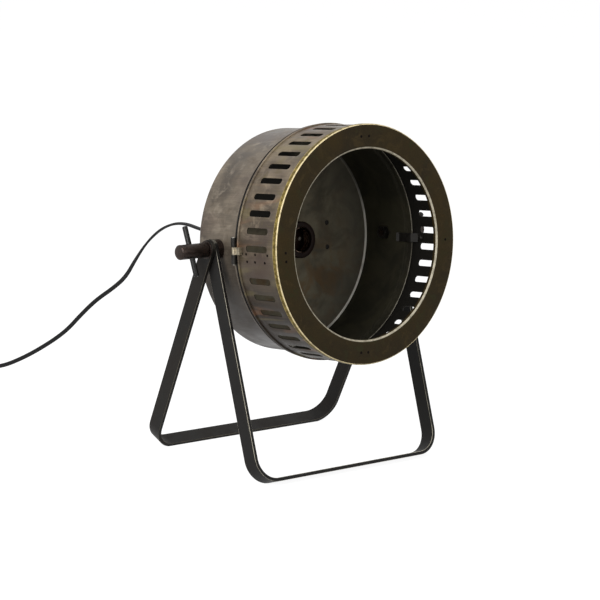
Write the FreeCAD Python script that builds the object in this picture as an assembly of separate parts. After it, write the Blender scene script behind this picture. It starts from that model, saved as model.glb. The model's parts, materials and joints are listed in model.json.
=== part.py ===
"""Tabletop searchlight lamp: a slotted drum on two crossed U frames of flat bar.

Millimetres. +Z is up, the lamp shines towards -Y, and +X is on the right of someone facing it.
Shapes are placed about the middle of the stand's footprint on the table, and moved at the end so
that the origin is under the middle of the whole lamp.
The head is drawn level about its pivot, as if the pivot were the origin, then tilted and lifted.
"""
import FreeCAD, Part
import math
import os

Vec = FreeCAD.Vector

# Head sizes
ORIGIN_SHIFT = 8.95
PIVOT_HEIGHT = 244.7
REST_TILT = 7.3
RING_RADIUS = 131.2
OPENING_RADIUS = 104.0
RING_SHEET = 1.2
RING_FRONT = 104.0
LIP_DEPTH = 6.0
BAND_RADIUS = 129.8
BAND_SHEET = 1.2
BAND_REAR = 38.4
BEAD_RADIUS = 131.4
BEAD_DEPTH = 3.0
DRUM_RADIUS = 125.0
DRUM_SHEET = 1.2
DRUM_FRONT = 36.6
DRUM_BACK = -34.4
RIM_RADIUS = 130.6
RIM_DEPTH = 4.0
SPIGOT_RADIUS = 128.0
SPIGOT_FRONT = 41.0

# Ventilation slots
SLOT_COUNT = 42
SLOT_PITCH = 8.4
SLOT_LENGTH = 34.0
SLOT_HEIGHT = 7.0
SLOT_CORNER = 2.9
SLOT_CENTRE = 70.0
BLANK_ANGLE = 186.4

# Stand of flat bar
BAR_WIDTH = 19.0
BAR_SHEET = 4.0
LEAN = 21.0
FOOT_FLAT_DEPTH = 0.6
BEND_RADIUS = 26.0
BAR_TOP = 11.0
STRAIGHT_TOP = 16.0
FRONT_HALF_TOP = 133.9
FRONT_HALF_FOOT = 132.1
REAR_HALF_TOP = 139.0
REAR_HALF_FOOT = 132.9

# Clamps, one on each side
BOSS_RADIUS = 10.5
BOSS_FACE = 131.7
THREAD_RADIUS = 4.0
THREAD_PLAY = 0.05
BAR_HOLE_RADIUS = 4.08
WASHER_HOLE_RADIUS = 4.08
KNOB_RADIUS = 8.1
KNOB_INNER = 142.4
KNOB_OUTER = 179.3
WASHER_RADIUS = 10.0
WASHER_SHEET = 1.2
FIBRE_SHEET = 1.0
TOMMY_RADIUS = 3.0
TOMMY_LENGTH = 56.0
TOMMY_PLACE = 163.0
LEFT_TOMMY_ANGLE = 26.0
RIGHT_TOMMY_ANGLE = -38.0

# Door hinge at the seam, on the -X side
PIN_X = -133.9
PIN_Y = -37.5
PIN_RADIUS = 1.2
KNUCKLE_RADIUS = 2.2
KNUCKLE_HEIGHT = 10.0
MIDDLE_HEIGHT = 8.0
KNUCKLE_GAP = 0.25

# Screw lampholder
HOLDER_RADIUS = 20.7
HOLDER_LENGTH = 28.5
SOCKET_RADIUS = 13.3
LINER_RADIUS = 14.0
NIPPLE_RADIUS = 5.0
CORD_GRIP_END = 46.0
CORD_EXIT = 72.0

# Cord and what is on it
CORD = 4.4
CORD_SMALLEST_RADIUS = 5 * CORD
SWITCH_X = -162.0
SWITCH_Y = 545.0
SWITCH_LENGTH = 60.0
SWITCH_WIDTH = 24.0
SWITCH_HEIGHT = 17.0
COIL_X = -202.65
COIL_Y = 489.2
COIL_OUTER = 34.35
COIL_STEP = 5.6
COIL_TURNS = 3
COIL_LOW = 3.2
COIL_HIGH = 9.2
PLUG_HEIGHT = 13.7
PLUG_LENGTH = 36.0
PLUG_WIDTH = 35.3
PIN_SPACING = 18.6

parts = {}


# Drawing helpers

def arc_edge(start, corner, end):
    """Arc that leaves start towards corner and reaches end from corner, both as far from it."""
    chord_middle = (start + end) * 0.5
    reach = (corner - chord_middle).Length
    half_chord = (end - start).Length / 2
    half_turn = math.atan2(reach, half_chord)
    rise = half_chord * math.tan(half_turn / 2)
    toward = (corner - chord_middle).normalize()
    return Part.Arc(start, chord_middle + toward * rise, end).toShape()


def outline(points):
    """Closed wire through (point, corner radius) pairs."""
    count = len(points)
    entry, leave = [], []
    for index, (point, radius) in enumerate(points):
        back = (points[index - 1][0] - point).normalize()
        ahead = (points[(index + 1) % count][0] - point).normalize()
        inside = back.getAngle(ahead)
        cut = radius / math.tan(inside / 2) if radius else 0.0
        entry.append(point + back * cut)
        leave.append(point + ahead * cut)
    edges = []
    for index, (point, radius) in enumerate(points):
        if radius:
            edges.append(arc_edge(entry[index], point, leave[index]))
        following = entry[(index + 1) % count]
        if (following - leave[index]).Length > 1e-6:
            edges.append(Part.makeLine(leave[index], following))
    return Part.Wire(edges)


def turned(profile):
    """Solid turned about the lamp's axis from (radius, forward, corner radius) points."""
    points = [(Vec(radius, -forward, 0), corner) for radius, forward, corner in profile]
    return Part.Face(outline(points)).revolve(Vec(0, 0, 0), Vec(0, 1, 0), 360)


def rod(radius, start, end):
    axis = end - start
    return Part.makeCylinder(radius, axis.Length, start, axis)


def tube_piece(outer, inner, start, end):
    return rod(outer, start, end).cut(rod(inner, start, end))


def block(low, high):
    size = high - low
    return Part.makeBox(size.x, size.y, size.z, low)


def cone(radius_start, radius_end, start, end):
    axis = end - start
    return Part.makeCone(radius_start, radius_end, axis.Length, start, axis)


def about_lamp_axis(shape, angle):
    """Turned about the lamp's axis by an angle measured from +X towards +Z."""
    copy = shape.copy()
    copy.rotate(Vec(0, 0, 0), Vec(0, -1, 0), angle)
    return copy


def mirrored(shape):
    return shape.mirror(Vec(0, 0, 0), Vec(1, 0, 0))


def on_stand(shape):
    """From the level head drawing to its place at rest."""
    copy = shape.copy()
    copy.rotate(Vec(0, 0, 0), Vec(1, 0, 0), -REST_TILT)
    copy.translate(Vec(0, 0, PIVOT_HEIGHT))
    return copy


def add_head(name, shape):
    parts[name] = on_stand(shape)


# Drum, band and front ring

def rear_drum():
    """Deep pan with a raised rim and a spigot that the band slips over, holed in the middle of its back."""
    inner = DRUM_RADIUS - DRUM_SHEET
    shell = turned([
        (NIPPLE_RADIUS, DRUM_BACK, 0),
        (DRUM_RADIUS, DRUM_BACK, 4),
        (DRUM_RADIUS, DRUM_FRONT - RIM_DEPTH, 0.6),
        (RIM_RADIUS, DRUM_FRONT - RIM_DEPTH, 1.2),
        (RIM_RADIUS, DRUM_FRONT, 1.2),
        (SPIGOT_RADIUS, DRUM_FRONT, 0),
        (SPIGOT_RADIUS, SPIGOT_FRONT, 0.4),
        (SPIGOT_RADIUS - DRUM_SHEET, SPIGOT_FRONT, 0.4),
        (SPIGOT_RADIUS - DRUM_SHEET, DRUM_FRONT - RIM_DEPTH + DRUM_SHEET, 0.6),
        (inner, DRUM_FRONT - RIM_DEPTH, 0.6),
        (inner, DRUM_BACK + DRUM_SHEET, 2.8),
        (NIPPLE_RADIUS, DRUM_BACK + DRUM_SHEET, 0),
    ])
    shell = shell.cut(rod(THREAD_RADIUS + 0.4, Vec(-140, 0, 0), Vec(140, 0, 0)))
    for height in BACK_RIVET_HEIGHTS:
        start = Vec(BACK_RIVET_X, -DRUM_BACK + 1, height)
        shell = shell.cut(rod(RIVET_SHANK, start, start - Vec(0, 4, 0)))
    return shell


RIVET_SHANK = 1.6
RIVET_HEAD = 3.0
BACK_RIVET_X = 63.0
BACK_RIVET_HEIGHTS = (-14.0, 14.0)


def back_rivets():
    """Two rivets through the back plate, with low round heads on both sides."""
    outside = -DRUM_BACK
    inside = outside - DRUM_SHEET
    rivets = []
    for height in BACK_RIVET_HEIGHTS:
        def at(depth):
            return Vec(BACK_RIVET_X, depth, height)
        shank = rod(RIVET_SHANK, at(inside - 0.2), at(outside + 0.2))
        front_head = cone(2.0, RIVET_HEAD, at(inside - 1.1), at(inside))
        back_head = cone(RIVET_HEAD, 2.0, at(outside), at(outside + 1.1))
        rivets.append(shank.fuse([front_head, back_head]).removeSplitter())
    return Part.makeCompound(rivets)


def slot_cutter():
    """Rounded bar that cuts one slot through the band, at angle zero."""
    front = SLOT_CENTRE + SLOT_LENGTH / 2
    rear = SLOT_CENTRE - SLOT_LENGTH / 2
    half = SLOT_HEIGHT / 2
    depth = BAND_RADIUS - 6
    corners = [Vec(depth, -front, -half), Vec(depth, -front, half),
               Vec(depth, -rear, half), Vec(depth, -rear, -half)]
    face = Part.Face(outline([(corner, SLOT_CORNER) for corner in corners]))
    return face.extrude(Vec(12, 0, 0))


def slotted_band():
    """Strip rolled into a hoop with a bead along its rear edge, slotted all round but for the blank
    where its ends are welded."""
    inner = BAND_RADIUS - BAND_SHEET
    front = RING_FRONT - RING_SHEET
    hoop = turned([
        (inner, BAND_REAR, 0.3),
        (BEAD_RADIUS, BAND_REAR, 1.2),
        (BEAD_RADIUS, BAND_REAR + BEAD_DEPTH, 1.2),
        (BAND_RADIUS, BAND_REAR + BEAD_DEPTH, 0),
        (BAND_RADIUS, front, 0),
        (inner, front, 0),
    ])
    first = BLANK_ANGLE + (360 - (SLOT_COUNT - 1) * SLOT_PITCH) / 2
    cutters = [about_lamp_axis(slot_cutter(), first + step * SLOT_PITCH) for step in range(SLOT_COUNT)]
    hoop = hoop.cut(Part.makeCompound(cutters))
    return hoop.cut(catch_rivet_hole())


CATCH_RIVET_Y = 53.0
# The strip of sheet between two slots, opposite the hinge
CATCH_ANGLE = -2.0


def catch_rivet_hole():
    hole = rod(RIVET_SHANK, Vec(120, -CATCH_RIVET_Y, 0), Vec(135, -CATCH_RIVET_Y, 0))
    return about_lamp_axis(hole, CATCH_ANGLE)


def front_ring():
    """Flat pressed ring: its outer lip turns back over the band, its inner edge rolls inwards."""
    inner_lip = 5.0
    sheet = RING_SHEET
    back = RING_FRONT - sheet
    return turned([
        (RING_RADIUS, RING_FRONT, 1.5),
        (OPENING_RADIUS, RING_FRONT, 2.4),
        (OPENING_RADIUS, RING_FRONT - inner_lip, 0.4),
        (OPENING_RADIUS + sheet, RING_FRONT - inner_lip, 0.4),
        (OPENING_RADIUS + sheet, back, 1.2),
        (RING_RADIUS - sheet, back, 0),
        (RING_RADIUS - sheet, RING_FRONT - LIP_DEPTH, 0.4),
        (RING_RADIUS, RING_FRONT - LIP_DEPTH, 0.4),
    ])


def ring_tabs():
    """Four bent tabs behind the ring, spot-welded to it and to the band."""
    sheet, width, on_ring, on_band = 1.2, 12.0, 15.0, 9.0
    outer = BAND_RADIUS - BAND_SHEET
    back = RING_FRONT - RING_SHEET
    half = width / 2
    flat = outer - 1.0
    bend = outline([
        (Vec(flat, -back, -half), 0),
        (Vec(flat - on_ring, -back, -half), 0),
        (Vec(flat - on_ring, -(back - sheet), -half), 0),
        (Vec(flat - sheet, -(back - sheet), -half), 1.0),
        (Vec(flat - sheet, -(back - on_band), -half), 0),
        (Vec(flat, -(back - on_band), -half), 0),
    ])
    tab = Part.Face(bend).extrude(Vec(0, 0, width))
    pad = block(Vec(flat, -back, -half), Vec(outer + 1, -(back - on_band), half))
    pad = pad.common(rod(outer, Vec(0, -back, 0), Vec(0, -(back - on_band), 0)))
    tab = tab.fuse(pad).removeSplitter()
    return Part.makeCompound([about_lamp_axis(tab, quarter * 90) for quarter in range(4)])


def catch_spring():
    """Spring strip riveted inside the band: its tail grips the inside of the drum."""
    sheet, width = 0.7, 10.0
    on_band = BAND_RADIUS - BAND_SHEET - 0.25
    on_drum = DRUM_RADIUS - DRUM_SHEET - 1.0
    half = width / 2
    shape = outline([
        (Vec(on_band, -57.5, -half), 0),
        (Vec(on_band, -49, -half), 1.5),
        (Vec(on_drum, -43.4, -half), 1.5),
        (Vec(on_drum, -24, -half), 1.5),
        (Vec(on_drum - 2, -21, -half), 0),
        (Vec(on_drum - 2 - sheet, -21.5, -half), 0),
        (Vec(on_drum - sheet, -24.4, -half), 0.8),
        (Vec(on_drum - sheet, -43.7, -half), 0.8),
        (Vec(on_band - sheet, -49.3, -half), 0.8),
        (Vec(on_band - sheet, -57.5, -half), 0),
    ])
    strip = Part.Face(shape).extrude(Vec(0, 0, width))
    return about_lamp_axis(strip, CATCH_ANGLE).cut(catch_rivet_hole())


def catch_rivet():
    inside = BAND_RADIUS - BAND_SHEET - 0.95
    def at(x):
        return Vec(x, -CATCH_RIVET_Y, 0)
    shank = rod(RIVET_SHANK, at(inside - 0.2), at(BAND_RADIUS + 0.2))
    inner_head = cone(1.9, RIVET_HEAD, at(inside - 1.0), at(inside))
    outer_head = cone(RIVET_HEAD, 1.9, at(BAND_RADIUS), at(BAND_RADIUS + 0.9))
    return about_lamp_axis(shank.fuse([inner_head, outer_head]).removeSplitter(), CATCH_ANGLE)


# Door hinge

HINGE_END = MIDDLE_HEIGHT / 2 + KNUCKLE_GAP + KNUCKLE_HEIGHT


def knuckle(bottom, top, bore):
    low, high = Vec(PIN_X, PIN_Y, bottom), Vec(PIN_X, PIN_Y, top)
    return rod(KNUCKLE_RADIUS, low, high), rod(bore, low - Vec(0, 0, 1), high + Vec(0, 0, 1))


def hinge_drum_knuckles():
    """Outer two knuckles, each with a foot welded on the drum's rim."""
    pieces = []
    for side in (-1, 1):
        inner_end = side * (MIDDLE_HEIGHT / 2 + KNUCKLE_GAP)
        outer_end = side * HINGE_END
        bottom, top = min(inner_end, outer_end), max(inner_end, outer_end)
        barrel, bore = knuckle(bottom, top, PIN_RADIUS)
        foot = block(Vec(PIN_X, PIN_Y, bottom), Vec(PIN_X + 6, -(DRUM_FRONT - RIM_DEPTH) - 0.3, top))
        foot = foot.cut(rod(RIM_RADIUS, Vec(0, -60, 0), Vec(0, 0, 0)))
        foot = foot.cut(block(Vec(PIN_X - 1, PIN_Y - 1, bottom - 1), Vec(PIN_X + 7, -DRUM_FRONT, top + 1)))
        pieces.append(barrel.fuse(foot).cut(bore).removeSplitter())
    return Part.makeCompound(pieces)


def hinge_door_knuckle():
    """Middle knuckle with its foot welded on the band."""
    half = MIDDLE_HEIGHT / 2
    barrel, bore = knuckle(-half, half, PIN_RADIUS + 0.05)
    foot = block(Vec(PIN_X, -BAND_REAR - 8, -half), Vec(PIN_X + 6, -BAND_REAR - 0.4, half))
    foot = foot.cut(rod(BAND_RADIUS, Vec(0, -60, 0), Vec(0, 0, 0)))
    foot = foot.cut(rod(BEAD_RADIUS, Vec(0, -BAND_REAR - BEAD_DEPTH, 0), Vec(0, 0, 0)))
    return barrel.fuse(foot).cut(bore).removeSplitter()


def hinge_pin():
    end = HINGE_END
    pin = rod(PIN_RADIUS, Vec(PIN_X, PIN_Y, -end), Vec(PIN_X, PIN_Y, end))
    upper_head = cone(1.9, 1.3, Vec(PIN_X, PIN_Y, end), Vec(PIN_X, PIN_Y, end + 0.9))
    lower_head = cone(1.3, 1.9, Vec(PIN_X, PIN_Y, -end - 0.9), Vec(PIN_X, PIN_Y, -end))
    return pin.fuse([upper_head, lower_head]).removeSplitter()


# Lampholder, from the back plate forwards

HOLDER_BACK = DRUM_BACK + DRUM_SHEET
HOLDER_FRONT = HOLDER_BACK + HOLDER_LENGTH
HOLDER_FLOOR = HOLDER_BACK + 6.0
INSERT_BACK = HOLDER_FLOOR + 3.0
INSERT_FRONT = INSERT_BACK + 3.0
LINER_FRONT = HOLDER_FRONT - 2.0
LINER_REAR = INSERT_FRONT + 3.6
HOLDER_BORE = HOLDER_RADIUS - 4.5
TERMINAL_PLACE = 9.5
CONTACT_SHEET = 0.6


def holder_body():
    """Black moulded cup, screwed on the hollow nipple by its floor."""
    return turned([
        (NIPPLE_RADIUS, HOLDER_BACK, 0),
        (HOLDER_RADIUS - 1.0, HOLDER_BACK, 1.0),
        (HOLDER_RADIUS, HOLDER_FLOOR, 2.0),
        (HOLDER_RADIUS, HOLDER_FRONT, 1.6),
        (SOCKET_RADIUS + 1.1, HOLDER_FRONT, 0.8),
        (SOCKET_RADIUS + 1.1, LINER_FRONT, 0),
        (HOLDER_BORE, LINER_FRONT, 0),
        (HOLDER_BORE, HOLDER_FLOOR, 1.5),
        (NIPPLE_RADIUS, HOLDER_FLOOR, 0),
    ])


def socket_liner():
    """Screw shell that takes the lamp cap, with a small flange under the cup's lip."""
    return turned([
        (SOCKET_RADIUS, LINER_REAR, 0),
        (LINER_RADIUS, LINER_REAR, 0),
        (LINER_RADIUS, LINER_FRONT - 1.0, 0),
        (HOLDER_BORE - 0.2, LINER_FRONT - 1.0, 0),
        (HOLDER_BORE - 0.2, LINER_FRONT, 0),
        (SOCKET_RADIUS, LINER_FRONT, 0),
    ])


def socket_insert():
    """Insulating disc that carries the contacts behind the screw shell."""
    disc = rod(HOLDER_BORE - 0.2, Vec(0, -INSERT_BACK, 0), Vec(0, -INSERT_FRONT, 0))
    for side in (-1, 1):
        start = Vec(side * TERMINAL_PLACE, -INSERT_BACK + 1, 0)
        disc = disc.cut(rod(1.25, start, start - Vec(0, 6, 0)))
    return disc


def centre_contact():
    """Springy tongue that rises to the middle of the socket."""
    front, width, sheet = INSERT_FRONT, 5.0, CONTACT_SHEET
    half = width / 2
    shape = outline([
        (Vec(TERMINAL_PLACE + 2.2, -front, -half), 0),
        (Vec(TERMINAL_PLACE + 2.2, -front - sheet, -half), 0),
        (Vec(5.0, -front - sheet, -half), 1.0),
        (Vec(2.0, -front - 2.8, -half), 1.0),
        (Vec(-3.0, -front - 2.8, -half), 0),
        (Vec(-3.0, -front - 2.2, -half), 0),
        (Vec(1.6, -front - 2.2, -half), 0.6),
        (Vec(4.6, -front, -half), 0.6),
    ])
    tongue = Part.Face(shape).extrude(Vec(0, 0, width))
    start = Vec(TERMINAL_PLACE, -front + 1, 0)
    return tongue.cut(rod(1.25, start, start - Vec(0, 4, 0)))


def side_contact():
    """Bent tag from the screw shell's rear edge down to the second terminal."""
    front, half_width = INSERT_FRONT, 2.5
    outer = -LINER_RADIUS
    tag = block(Vec(outer, -front - CONTACT_SHEET, -half_width), Vec(-TERMINAL_PLACE + 2.2, -front, half_width))
    tag = tag.fuse(block(Vec(outer, -LINER_REAR, -half_width), Vec(outer + CONTACT_SHEET, -front, half_width)))
    tag = tag.removeSplitter()
    start = Vec(-TERMINAL_PLACE, -front + 1, 0)
    return tag.cut(rod(1.25, start, start - Vec(0, 4, 0)))


def terminal_screws():
    """Two small screws that hold the contacts on the insert and grip the leads behind it."""
    screws = []
    for side in (-1, 1):
        def at(forward):
            return Vec(side * TERMINAL_PLACE, -forward, 0)
        shank = rod(1.25, at(INSERT_BACK - 1.0), at(INSERT_FRONT + 0.6))
        head = rod(2.1, at(INSERT_FRONT + 0.6), at(INSERT_FRONT + 1.8))
        slot = block(at(INSERT_FRONT + 2.0) - Vec(3, 0, 0.3), at(INSERT_FRONT + 1.2) + Vec(3, 0, 0.3))
        screws.append(shank.fuse(head).removeSplitter().cut(slot))
    return Part.makeCompound(screws)


def inner_leads():
    """The cord's two cores, from the nipple out to the terminals."""
    leads = []
    lead_radius = 0.8
    level = (HOLDER_FLOOR + INSERT_BACK - 1.0) / 2
    for side in (-1, 1):
        start = Vec(side * 1.6, -(DRUM_BACK - 4), 0)
        corner = Vec(side * 1.6, -level, 0)
        end = Vec(side * (TERMINAL_PLACE + 1.0), -level, 0)
        bend = 3.0
        up = corner + Vec(0, bend, 0)
        out = corner + Vec(side * bend, 0, 0)
        path = Part.Wire([Part.makeLine(start, up), arc_edge(up, corner, out), Part.makeLine(out, end)])
        section = Part.Wire(Part.makeCircle(lead_radius, start, Vec(0, -1, 0)))
        leads.append(path.makePipeShell([section], True, False))
    return Part.makeCompound(leads)


NUT_THICKNESS = 3.0


def hollow_nipple():
    """Threaded tube through the back plate that joins holder, nut and cord grip."""
    start = Vec(0, -HOLDER_FLOOR, 0)
    end = Vec(0, -DRUM_BACK + NUT_THICKNESS + 7.0, 0)
    return tube_piece(NIPPLE_RADIUS, 3.4, start, end)


def hexagon(across_flats, start, depth, axis):
    """Prism with six sides along X or Y."""
    radius = across_flats / math.sqrt(3)
    corners = []
    for step in range(6):
        angle = math.radians(60 * step)
        first, second = radius * math.cos(angle), radius * math.sin(angle)
        corners.append(start + (Vec(0, first, second) if axis.x else Vec(first, 0, second)))
    return Part.Face(Part.makePolygon(corners + corners[:1])).extrude(axis * depth)


def nipple_nut():
    start = Vec(0, -DRUM_BACK, 0)
    nut = hexagon(14.0, start, NUT_THICKNESS, Vec(0, 1, 0))
    return nut.cut(rod(NIPPLE_RADIUS, start - Vec(0, 1, 0), start + Vec(0, NUT_THICKNESS + 1, 0)))


def cord_grip():
    """Moulded grip screwed on the nipple's tail; the cord comes out of its far end."""
    near = DRUM_BACK - NUT_THICKNESS
    hole = CORD / 2 + 0.8
    return turned([
        (NIPPLE_RADIUS, near, 0),
        (7.6, near, 0.8),
        (7.6, -CORD_GRIP_END, 1.5),
        (hole, -CORD_GRIP_END, 0),
        (hole, near - 7.0, 0),
        (NIPPLE_RADIUS, near - 7.0, 0),
    ])


def strain_relief():
    """Soft sleeve that tapers along the cord, held in the grip."""
    in_grip = rod(CORD / 2 + 0.8, Vec(0, CORD_GRIP_END - 2.6, 0), Vec(0, CORD_GRIP_END, 0))
    sleeve = cone(4.6, 3.1, Vec(0, CORD_GRIP_END, 0), Vec(0, CORD_EXIT, 0))
    return sleeve.fuse(in_grip).removeSplitter()


# Pivots and clamps, drawn on the +X side

def pivot_boss():
    """Turned boss welded on the drum, hollowed to sit on its round wall."""
    boss = rod(BOSS_RADIUS, Vec(118, 0, 0), Vec(BOSS_FACE, 0, 0))
    boss = boss.cut(rod(DRUM_RADIUS, Vec(0, -20, 0), Vec(0, 20, 0)))
    return boss.cut(rod(THREAD_RADIUS + 0.4, Vec(110, 0, 0), Vec(140, 0, 0)))


def pivot_nut():
    """Nut welded inside the drum."""
    inner_wall = DRUM_RADIUS - DRUM_SHEET - 0.3
    nut = hexagon(13.0, Vec(inner_wall - 6.5, 0, 0), 6.5, Vec(1, 0, 0))
    return nut.cut(rod(THREAD_RADIUS + THREAD_PLAY, Vec(110, 0, 0), Vec(130, 0, 0)))


def fibre_washer():
    inner_face = FRONT_HALF_TOP + BAR_SHEET / 2
    return tube_piece(9.0, BAR_HOLE_RADIUS, Vec(inner_face, 0, 0), Vec(inner_face + FIBRE_SHEET, 0, 0))


def clamp_washer():
    outer_face = KNOB_INNER
    inner_face = KNOB_INNER - WASHER_SHEET
    return tube_piece(WASHER_RADIUS, WASHER_HOLE_RADIUS, Vec(inner_face, 0, 0), Vec(outer_face, 0, 0))


def clamp_screw(tommy_angle):
    """Long round knob and its threaded stud in one piece, cross-drilled for the tommy bar."""
    stud = rod(THREAD_RADIUS, Vec(116.5, 0, 0), Vec(KNOB_INNER + 1, 0, 0))
    knob = rod(KNOB_RADIUS, Vec(KNOB_INNER, 0, 0), Vec(KNOB_OUTER, 0, 0))
    rims = [edge for edge in knob.Edges if len(edge.Vertexes) == 1]
    knob = knob.makeChamfer(1.2, rims)
    screw = knob.fuse(stud).removeSplitter()
    return screw.cut(tommy_bar(tommy_angle, 2 * KNOB_RADIUS + 4, 0))


def tommy_bar(angle, length, chamfer):
    """Plain round bar through the knob, leaning back from upright by an angle."""
    lean = math.radians(angle)
    along = Vec(0, math.sin(lean), math.cos(lean)) * (length / 2)
    centre = Vec(TOMMY_PLACE, 0, 0)
    bar = rod(TOMMY_RADIUS, centre - along, centre + along)
    if chamfer:
        rims = [edge for edge in bar.Edges if len(edge.Vertexes) == 1]
        bar = bar.makeChamfer(chamfer, rims)
    return bar


# Stand

def bar_frame(direction, half_top, half_foot):
    """U frame bent from one flat bar; direction is -1 for the front frame, +1 for the rear one."""
    lean = math.radians(LEAN)
    edge_drop = BAR_WIDTH / 2 * math.sin(lean) + BAR_SHEET / 2 * math.cos(lean)
    length = (PIVOT_HEIGHT + FOOT_FLAT_DEPTH - edge_drop) / math.cos(lean)
    down = Vec(0, direction * math.sin(lean), -math.cos(lean))
    across = Vec(0, math.cos(lean), direction * math.sin(lean))
    pivot = Vec(0, 0, PIVOT_HEIGHT)

    def at(x, distance):
        return pivot + Vec(x, 0, 0) + down * distance

    half = BAR_SHEET / 2
    outer = [(half_top + half, -BAR_TOP, 0), (half_top + half, STRAIGHT_TOP, 0),
             (half_foot + half, length + half, BEND_RADIUS + half)]
    inner = [(half_top - half, -BAR_TOP, 0), (half_top - half, STRAIGHT_TOP, 0),
             (half_foot - half, length - half, BEND_RADIUS - half)]
    mirror_outer = [(-x, distance, radius) for x, distance, radius in reversed(outer)]
    mirror_inner = [(-x, distance, radius) for x, distance, radius in inner]
    around = outer + mirror_outer + mirror_inner + list(reversed(inner))
    wire = outline([(at(x, distance), radius) for x, distance, radius in around])
    bar = Part.Face(wire).extrude(across * BAR_WIDTH)
    bar.translate(across * (-BAR_WIDTH / 2))

    round_end = rod(BAR_WIDTH / 2, at(-200, BAR_WIDTH / 2 - BAR_TOP), at(200, BAR_WIDTH / 2 - BAR_TOP))
    ends = block(Vec(-200, -20, -20), Vec(200, 20, 0))
    ends.rotate(Vec(0, 0, 0), Vec(1, 0, 0), direction * LEAN)
    ends.translate(pivot + down * (BAR_WIDTH / 2 - BAR_TOP - 20) + down * 20)
    lower = block(Vec(-200, -60, -300), Vec(200, 60, 0))
    lower.rotate(Vec(0, 0, 0), Vec(1, 0, 0), direction * LEAN)
    lower.translate(pivot + down * (BAR_WIDTH / 2 - BAR_TOP))
    bar = bar.common(round_end.fuse(lower))
    bar = bar.cut(rod(BAR_HOLE_RADIUS, Vec(-200, 0, PIVOT_HEIGHT), Vec(200, 0, PIVOT_HEIGHT)))
    return bar.cut(block(Vec(-200, -200, -20), Vec(200, 200, 0)))


# Cord

def route_edges(name, points):
    """Straight runs joined by arcs as large as the shorter run beside each corner allows."""
    corners = [Vec(*point) for point in points]
    edges, radii = [], []
    last = corners[0]
    for before, corner, after in zip(corners, corners[1:], corners[2:]):
        back, ahead = before - corner, after - corner
        cut = 0.45 * min(back.Length, ahead.Length)
        turn = math.pi - back.getAngle(ahead)
        radii.append(cut / math.tan(turn / 2))
        entry = corner + back.normalize() * cut
        leave = corner + ahead.normalize() * cut
        edges.append(Part.makeLine(last, entry))
        edges.append(arc_edge(entry, corner, leave))
        last = leave
    edges.append(Part.makeLine(last, corners[-1]))
    runs = [(second - first).Length for first, second in zip(corners, corners[1:])]
    print(name, "runs", [round(run) for run in runs], "radii", [round(radius) for radius in radii])
    if min(radii) < CORD_SMALLEST_RADIUS:
        print(name, "has a bend under", CORD_SMALLEST_RADIUS)
    return edges


def tube(name, edges):
    path = Part.Wire(edges)
    start = edges[0].valueAt(edges[0].FirstParameter)
    direction = edges[0].tangentAt(edges[0].FirstParameter)
    section = Part.Wire(Part.makeCircle(CORD / 2, start, direction))
    solid = path.makePipeShell([section], True, False)
    expected = math.pi * CORD ** 2 / 4 * path.Length
    print(name, "length", round(path.Length), "volume ratio", round(solid.Volume / expected, 4), solid.isValid())
    return solid


def exit_point(reach):
    """Point on the lamp's axis, behind the drum, at rest."""
    tilt = math.radians(REST_TILT)
    return (0.0, reach * math.cos(tilt), PIVOT_HEIGHT - reach * math.sin(tilt))


SWITCH_NEAR = SWITCH_X + SWITCH_LENGTH / 2
SWITCH_FAR = SWITCH_X - SWITCH_LENGTH / 2
CORD_LEVEL = SWITCH_HEIGHT / 2

LEAD_ROUTE = [
    exit_point(CORD_EXIT), exit_point(CORD_EXIT + 30),
    (0, 138, 225.8), (0, 180, 224.3), (0, 221, 227.6), (0, 256, 216.2), (-2, 284, 193.5),
    (-5, 303, 167), (-10, 314, 144), (-21, 325, 128.5), (-30, 346, 110.8), (-41, 361, 90.3), (-52, 375, 68.2),
    (-63, 398, 47.6), (-75, 430, 25), (-90, 460, 7.5), (-93, 491, 2.6), (-94, 519, 2.6), (-102, 536, 5),
    (-117, SWITCH_Y, CORD_LEVEL), (SWITCH_NEAR, SWITCH_Y, CORD_LEVEL),
]

COIL_START_X = COIL_X - COIL_OUTER
COIL_END_X = COIL_START_X - COIL_STEP / 2
LINK_ROUTE = [
    (SWITCH_FAR, SWITCH_Y, CORD_LEVEL), (SWITCH_FAR - 14, SWITCH_Y, CORD_LEVEL),
    (-225, 534, 6), (COIL_START_X, 516.5, COIL_LOW), (COIL_START_X, COIL_Y + CORD, COIL_LOW),
]

PLUG_AXIS = PLUG_HEIGHT / 2
PLUG_X = COIL_END_X - 1.4
TAIL_ROUTE = [
    (COIL_END_X, COIL_Y - CORD, COIL_HIGH), (COIL_END_X, COIL_Y - 18, COIL_HIGH),
    (COIL_END_X - 1, COIL_Y - 34, 7.9), (PLUG_X, COIL_Y - 50, PLUG_AXIS),
    (PLUG_X, COIL_Y - 64, PLUG_AXIS),
]
PLUG_ENTRY = COIL_Y - 64


def half_turn(start, end):
    """Two quarter arcs from start to end, whose tangents are both square to the line between them."""
    side = 1 if start.x > end.x else -1
    reach = Vec(0, side * (end - start).Length / 2, 0)
    middle = (start + end) * 0.5 + reach
    return [arc_edge(start, start + reach, middle), arc_edge(middle, end + reach, end)]


def coil_crossings():
    """Where the coil crosses its own middle line: in along the table, up a layer, and out again."""
    crossings = []
    for step in range(2 * COIL_TURNS + 1):
        side = -1 if step % 2 == 0 else 1
        crossings.append(Vec(side * (COIL_OUTER - step * COIL_STEP / 2), 0, COIL_LOW))
    innermost = COIL_OUTER - COIL_TURNS * COIL_STEP
    for step in range(2 * COIL_TURNS + 2):
        side = 1 if step % 2 == 0 else -1
        crossings.append(Vec(side * (innermost + step * COIL_STEP / 2), 0, COIL_HIGH))
    return [crossing + Vec(COIL_X, COIL_Y, 0) for crossing in crossings]


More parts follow.
